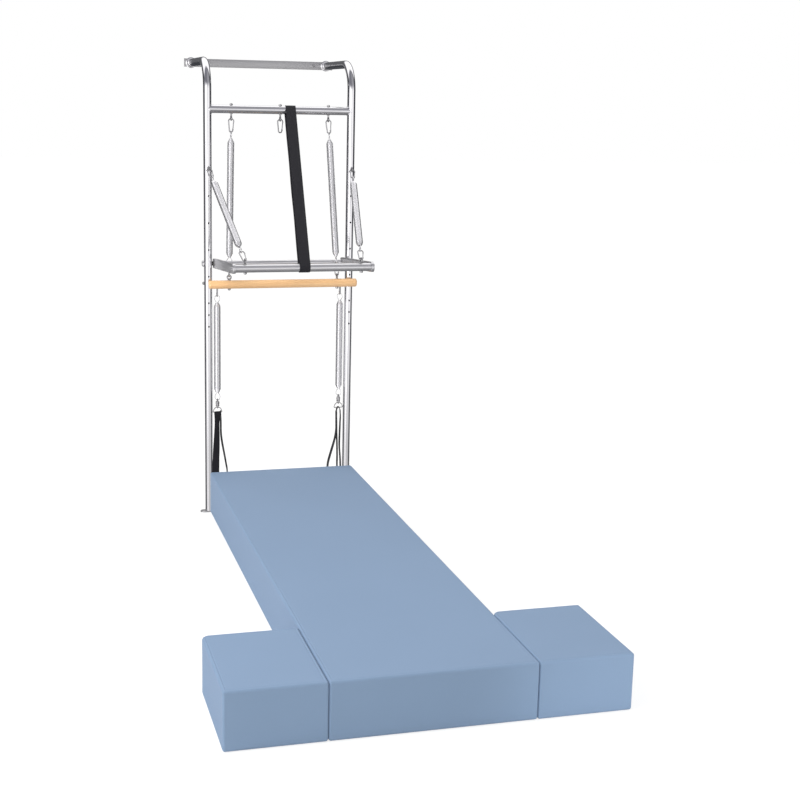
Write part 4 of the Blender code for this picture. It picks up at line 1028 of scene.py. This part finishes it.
color = VINYL.blend(cloud * 0.7 + grain * 0.3, (0.230, 0.329, 0.486, 1.0), (0.256, 0.358, 0.523, 1.0))
VINYL.wear(color, cloud * 0.12 + 0.44, grain, 0.00012)

RIM_LINES = [0, 0.8, 1.8, 3, 4.5, 6, 7.5, 9, 10, 10.7, 11.3, 11.9, 12.5, 13.1, 13.7, 14.5]
RIM_LINES += [15.5 + 2 * i for i in range(15)]
BAND_LINES = [0, 0.8, 2, 3.5, 5, 7, 9, 11, 13.5, 16, 18, 20, 23, 27, 32]


def lines_between(half, insets, count):
    """Grid places from -half to half: at millimetres in from both ends, and evenly spaced between."""
    near = [half - inset / 1000 for inset in reversed(insets)]
    middle = list(np.linspace(-near[0], near[0], count))
    return np.array([-x for x in reversed(near)] + middle[1:-1] + near)


def limited(value, reach):
    return max(-reach, min(reach, value))


def cushion_mesh(name, size, back_corner):
    """A padded block: rounded corners, rolled edges, a sewn line, puckers, a low crown and drawn-in sides."""
    half = size / 2
    counts = (12, max(12, int(size.y / 0.04)), 10)
    spans = [lines_between(*span) for span in zip(half, (RIM_LINES, RIM_LINES, BAND_LINES), counts)]
    skin = Skin()
    for axis in range(3):
        second_axis, third_axis = (axis + 1) % 3, (axis + 2) % 3
        first, second = spans[second_axis], spans[third_axis]
        for end in (-1, 1):
            rows = np.zeros((len(second), len(first), 3))
            rows[..., axis] = end * half[axis]
            rows[..., second_axis] = first[None, :]
            rows[..., third_axis] = second[:, None]
            skin.grid(rows, first, second)
    mesh = skin.mesh(name, 180.0)
    rng = np.random.default_rng(7)
    waves = [(rng.uniform(3, 16, 2), rng.uniform(0, 6.28), rng.uniform(0.4, 1.0)) for _ in range(10)]
    for vertex in mesh.vertices:
        x, y, z = vertex.co
        inset = min(half.x - abs(x), half.y - abs(y))
        corner = back_corner if x < 0 < y else CORNER
        core_x, core_y = limited(x, half.x - corner), limited(y, half.y - corner)
        away = Vector((x - core_x, y - core_y))
        inward, fall = (ROLL_IN, ROLL_FALL) if z > 0 else (FOOT_ROLL, FOOT_ROLL)
        a, b = max(0.0, 1 - inset / inward), max(0.0, 1 - (half.z - abs(z)) / fall)
        fit = max(a, b) / max(math.hypot(a, b), 1e-9)
        if away.length > 0:
            away.normalize()
            out_by = corner - (inward * (1 - a * fit) if a > 0 else inset)
            x, y = core_x + away.x * out_by, core_y + away.y * out_by
        if b > 0:
            z = math.copysign(half.z - fall * (1 - b * fit), z)
        u, v, w = x / half.x, y / half.y, z / half.z
        ripple = sum(a * math.sin(k[0] * u * 2 + k[1] * v * 2 + p) for k, p, a in waves) / 7
        to_corner = math.hypot(half.x - abs(x), half.y - abs(y))
        folds = math.sin(to_corner * math.tau / 0.011) * math.exp(-(to_corner / 0.026) ** 2)
        if z > 0 and b >= a:
            crown = CROWN * (1 - max(0, (1 - u * u) * (1 - v * v))) - 0.0004 * ripple
            z -= b * fit * crown + SEAM_DEPTH * math.exp(-((inset - SEAM_INSET) / SEAM_REACH) ** 2)
        pinch = abs(PUCKER * folds * math.exp(-((half.z - z) / 0.030) ** 2)) if a > 0 else 0.0
        mid = max(0.0, 1 - w * w)
        if abs(u) > 0.9:
            x -= math.copysign(SIDE_HOLLOW * mid * (1 - v * v) + 0.0003 * mid * (1 + ripple) + pinch, u)
        if abs(v) > 0.9:
            y -= math.copysign(END_HOLLOW * mid * (1 - u * u) + 0.0004 * mid * (1 + ripple) + pinch, v)
        vertex.co = (x, y, z + half.z)
    mesh.shade_smooth()
    return mesh


def lay(name, mesh, x, y, node):
    """A cushion on the floor; it isn't mirrored in the steel."""
    cushion = piece(name, mesh, VINYL, "frame", Matrix.Translation((x, y, 0)), node)
    cushion.visible_glossy = False


lay("mat_cushion", cushion_mesh("mat_cushion", MAT_SIZE, CORNER), 0, MAT_BACK - MAT_SIZE.y / 2, "mat")
block_mesh = cushion_mesh("block_cushion", BLOCK_SIZE, BACK_CORNER)
for side, sign in SIDES.items():
    x = sign * (MAT_SIZE.x / 2 + BLOCK_GAP + BLOCK_SIZE.x / 2)
    lay(f"{side}_block_cushion", block_mesh, x, MAT_BACK - MAT_SIZE.y + BLOCK_SIZE.y / 2, f"{side}_block")
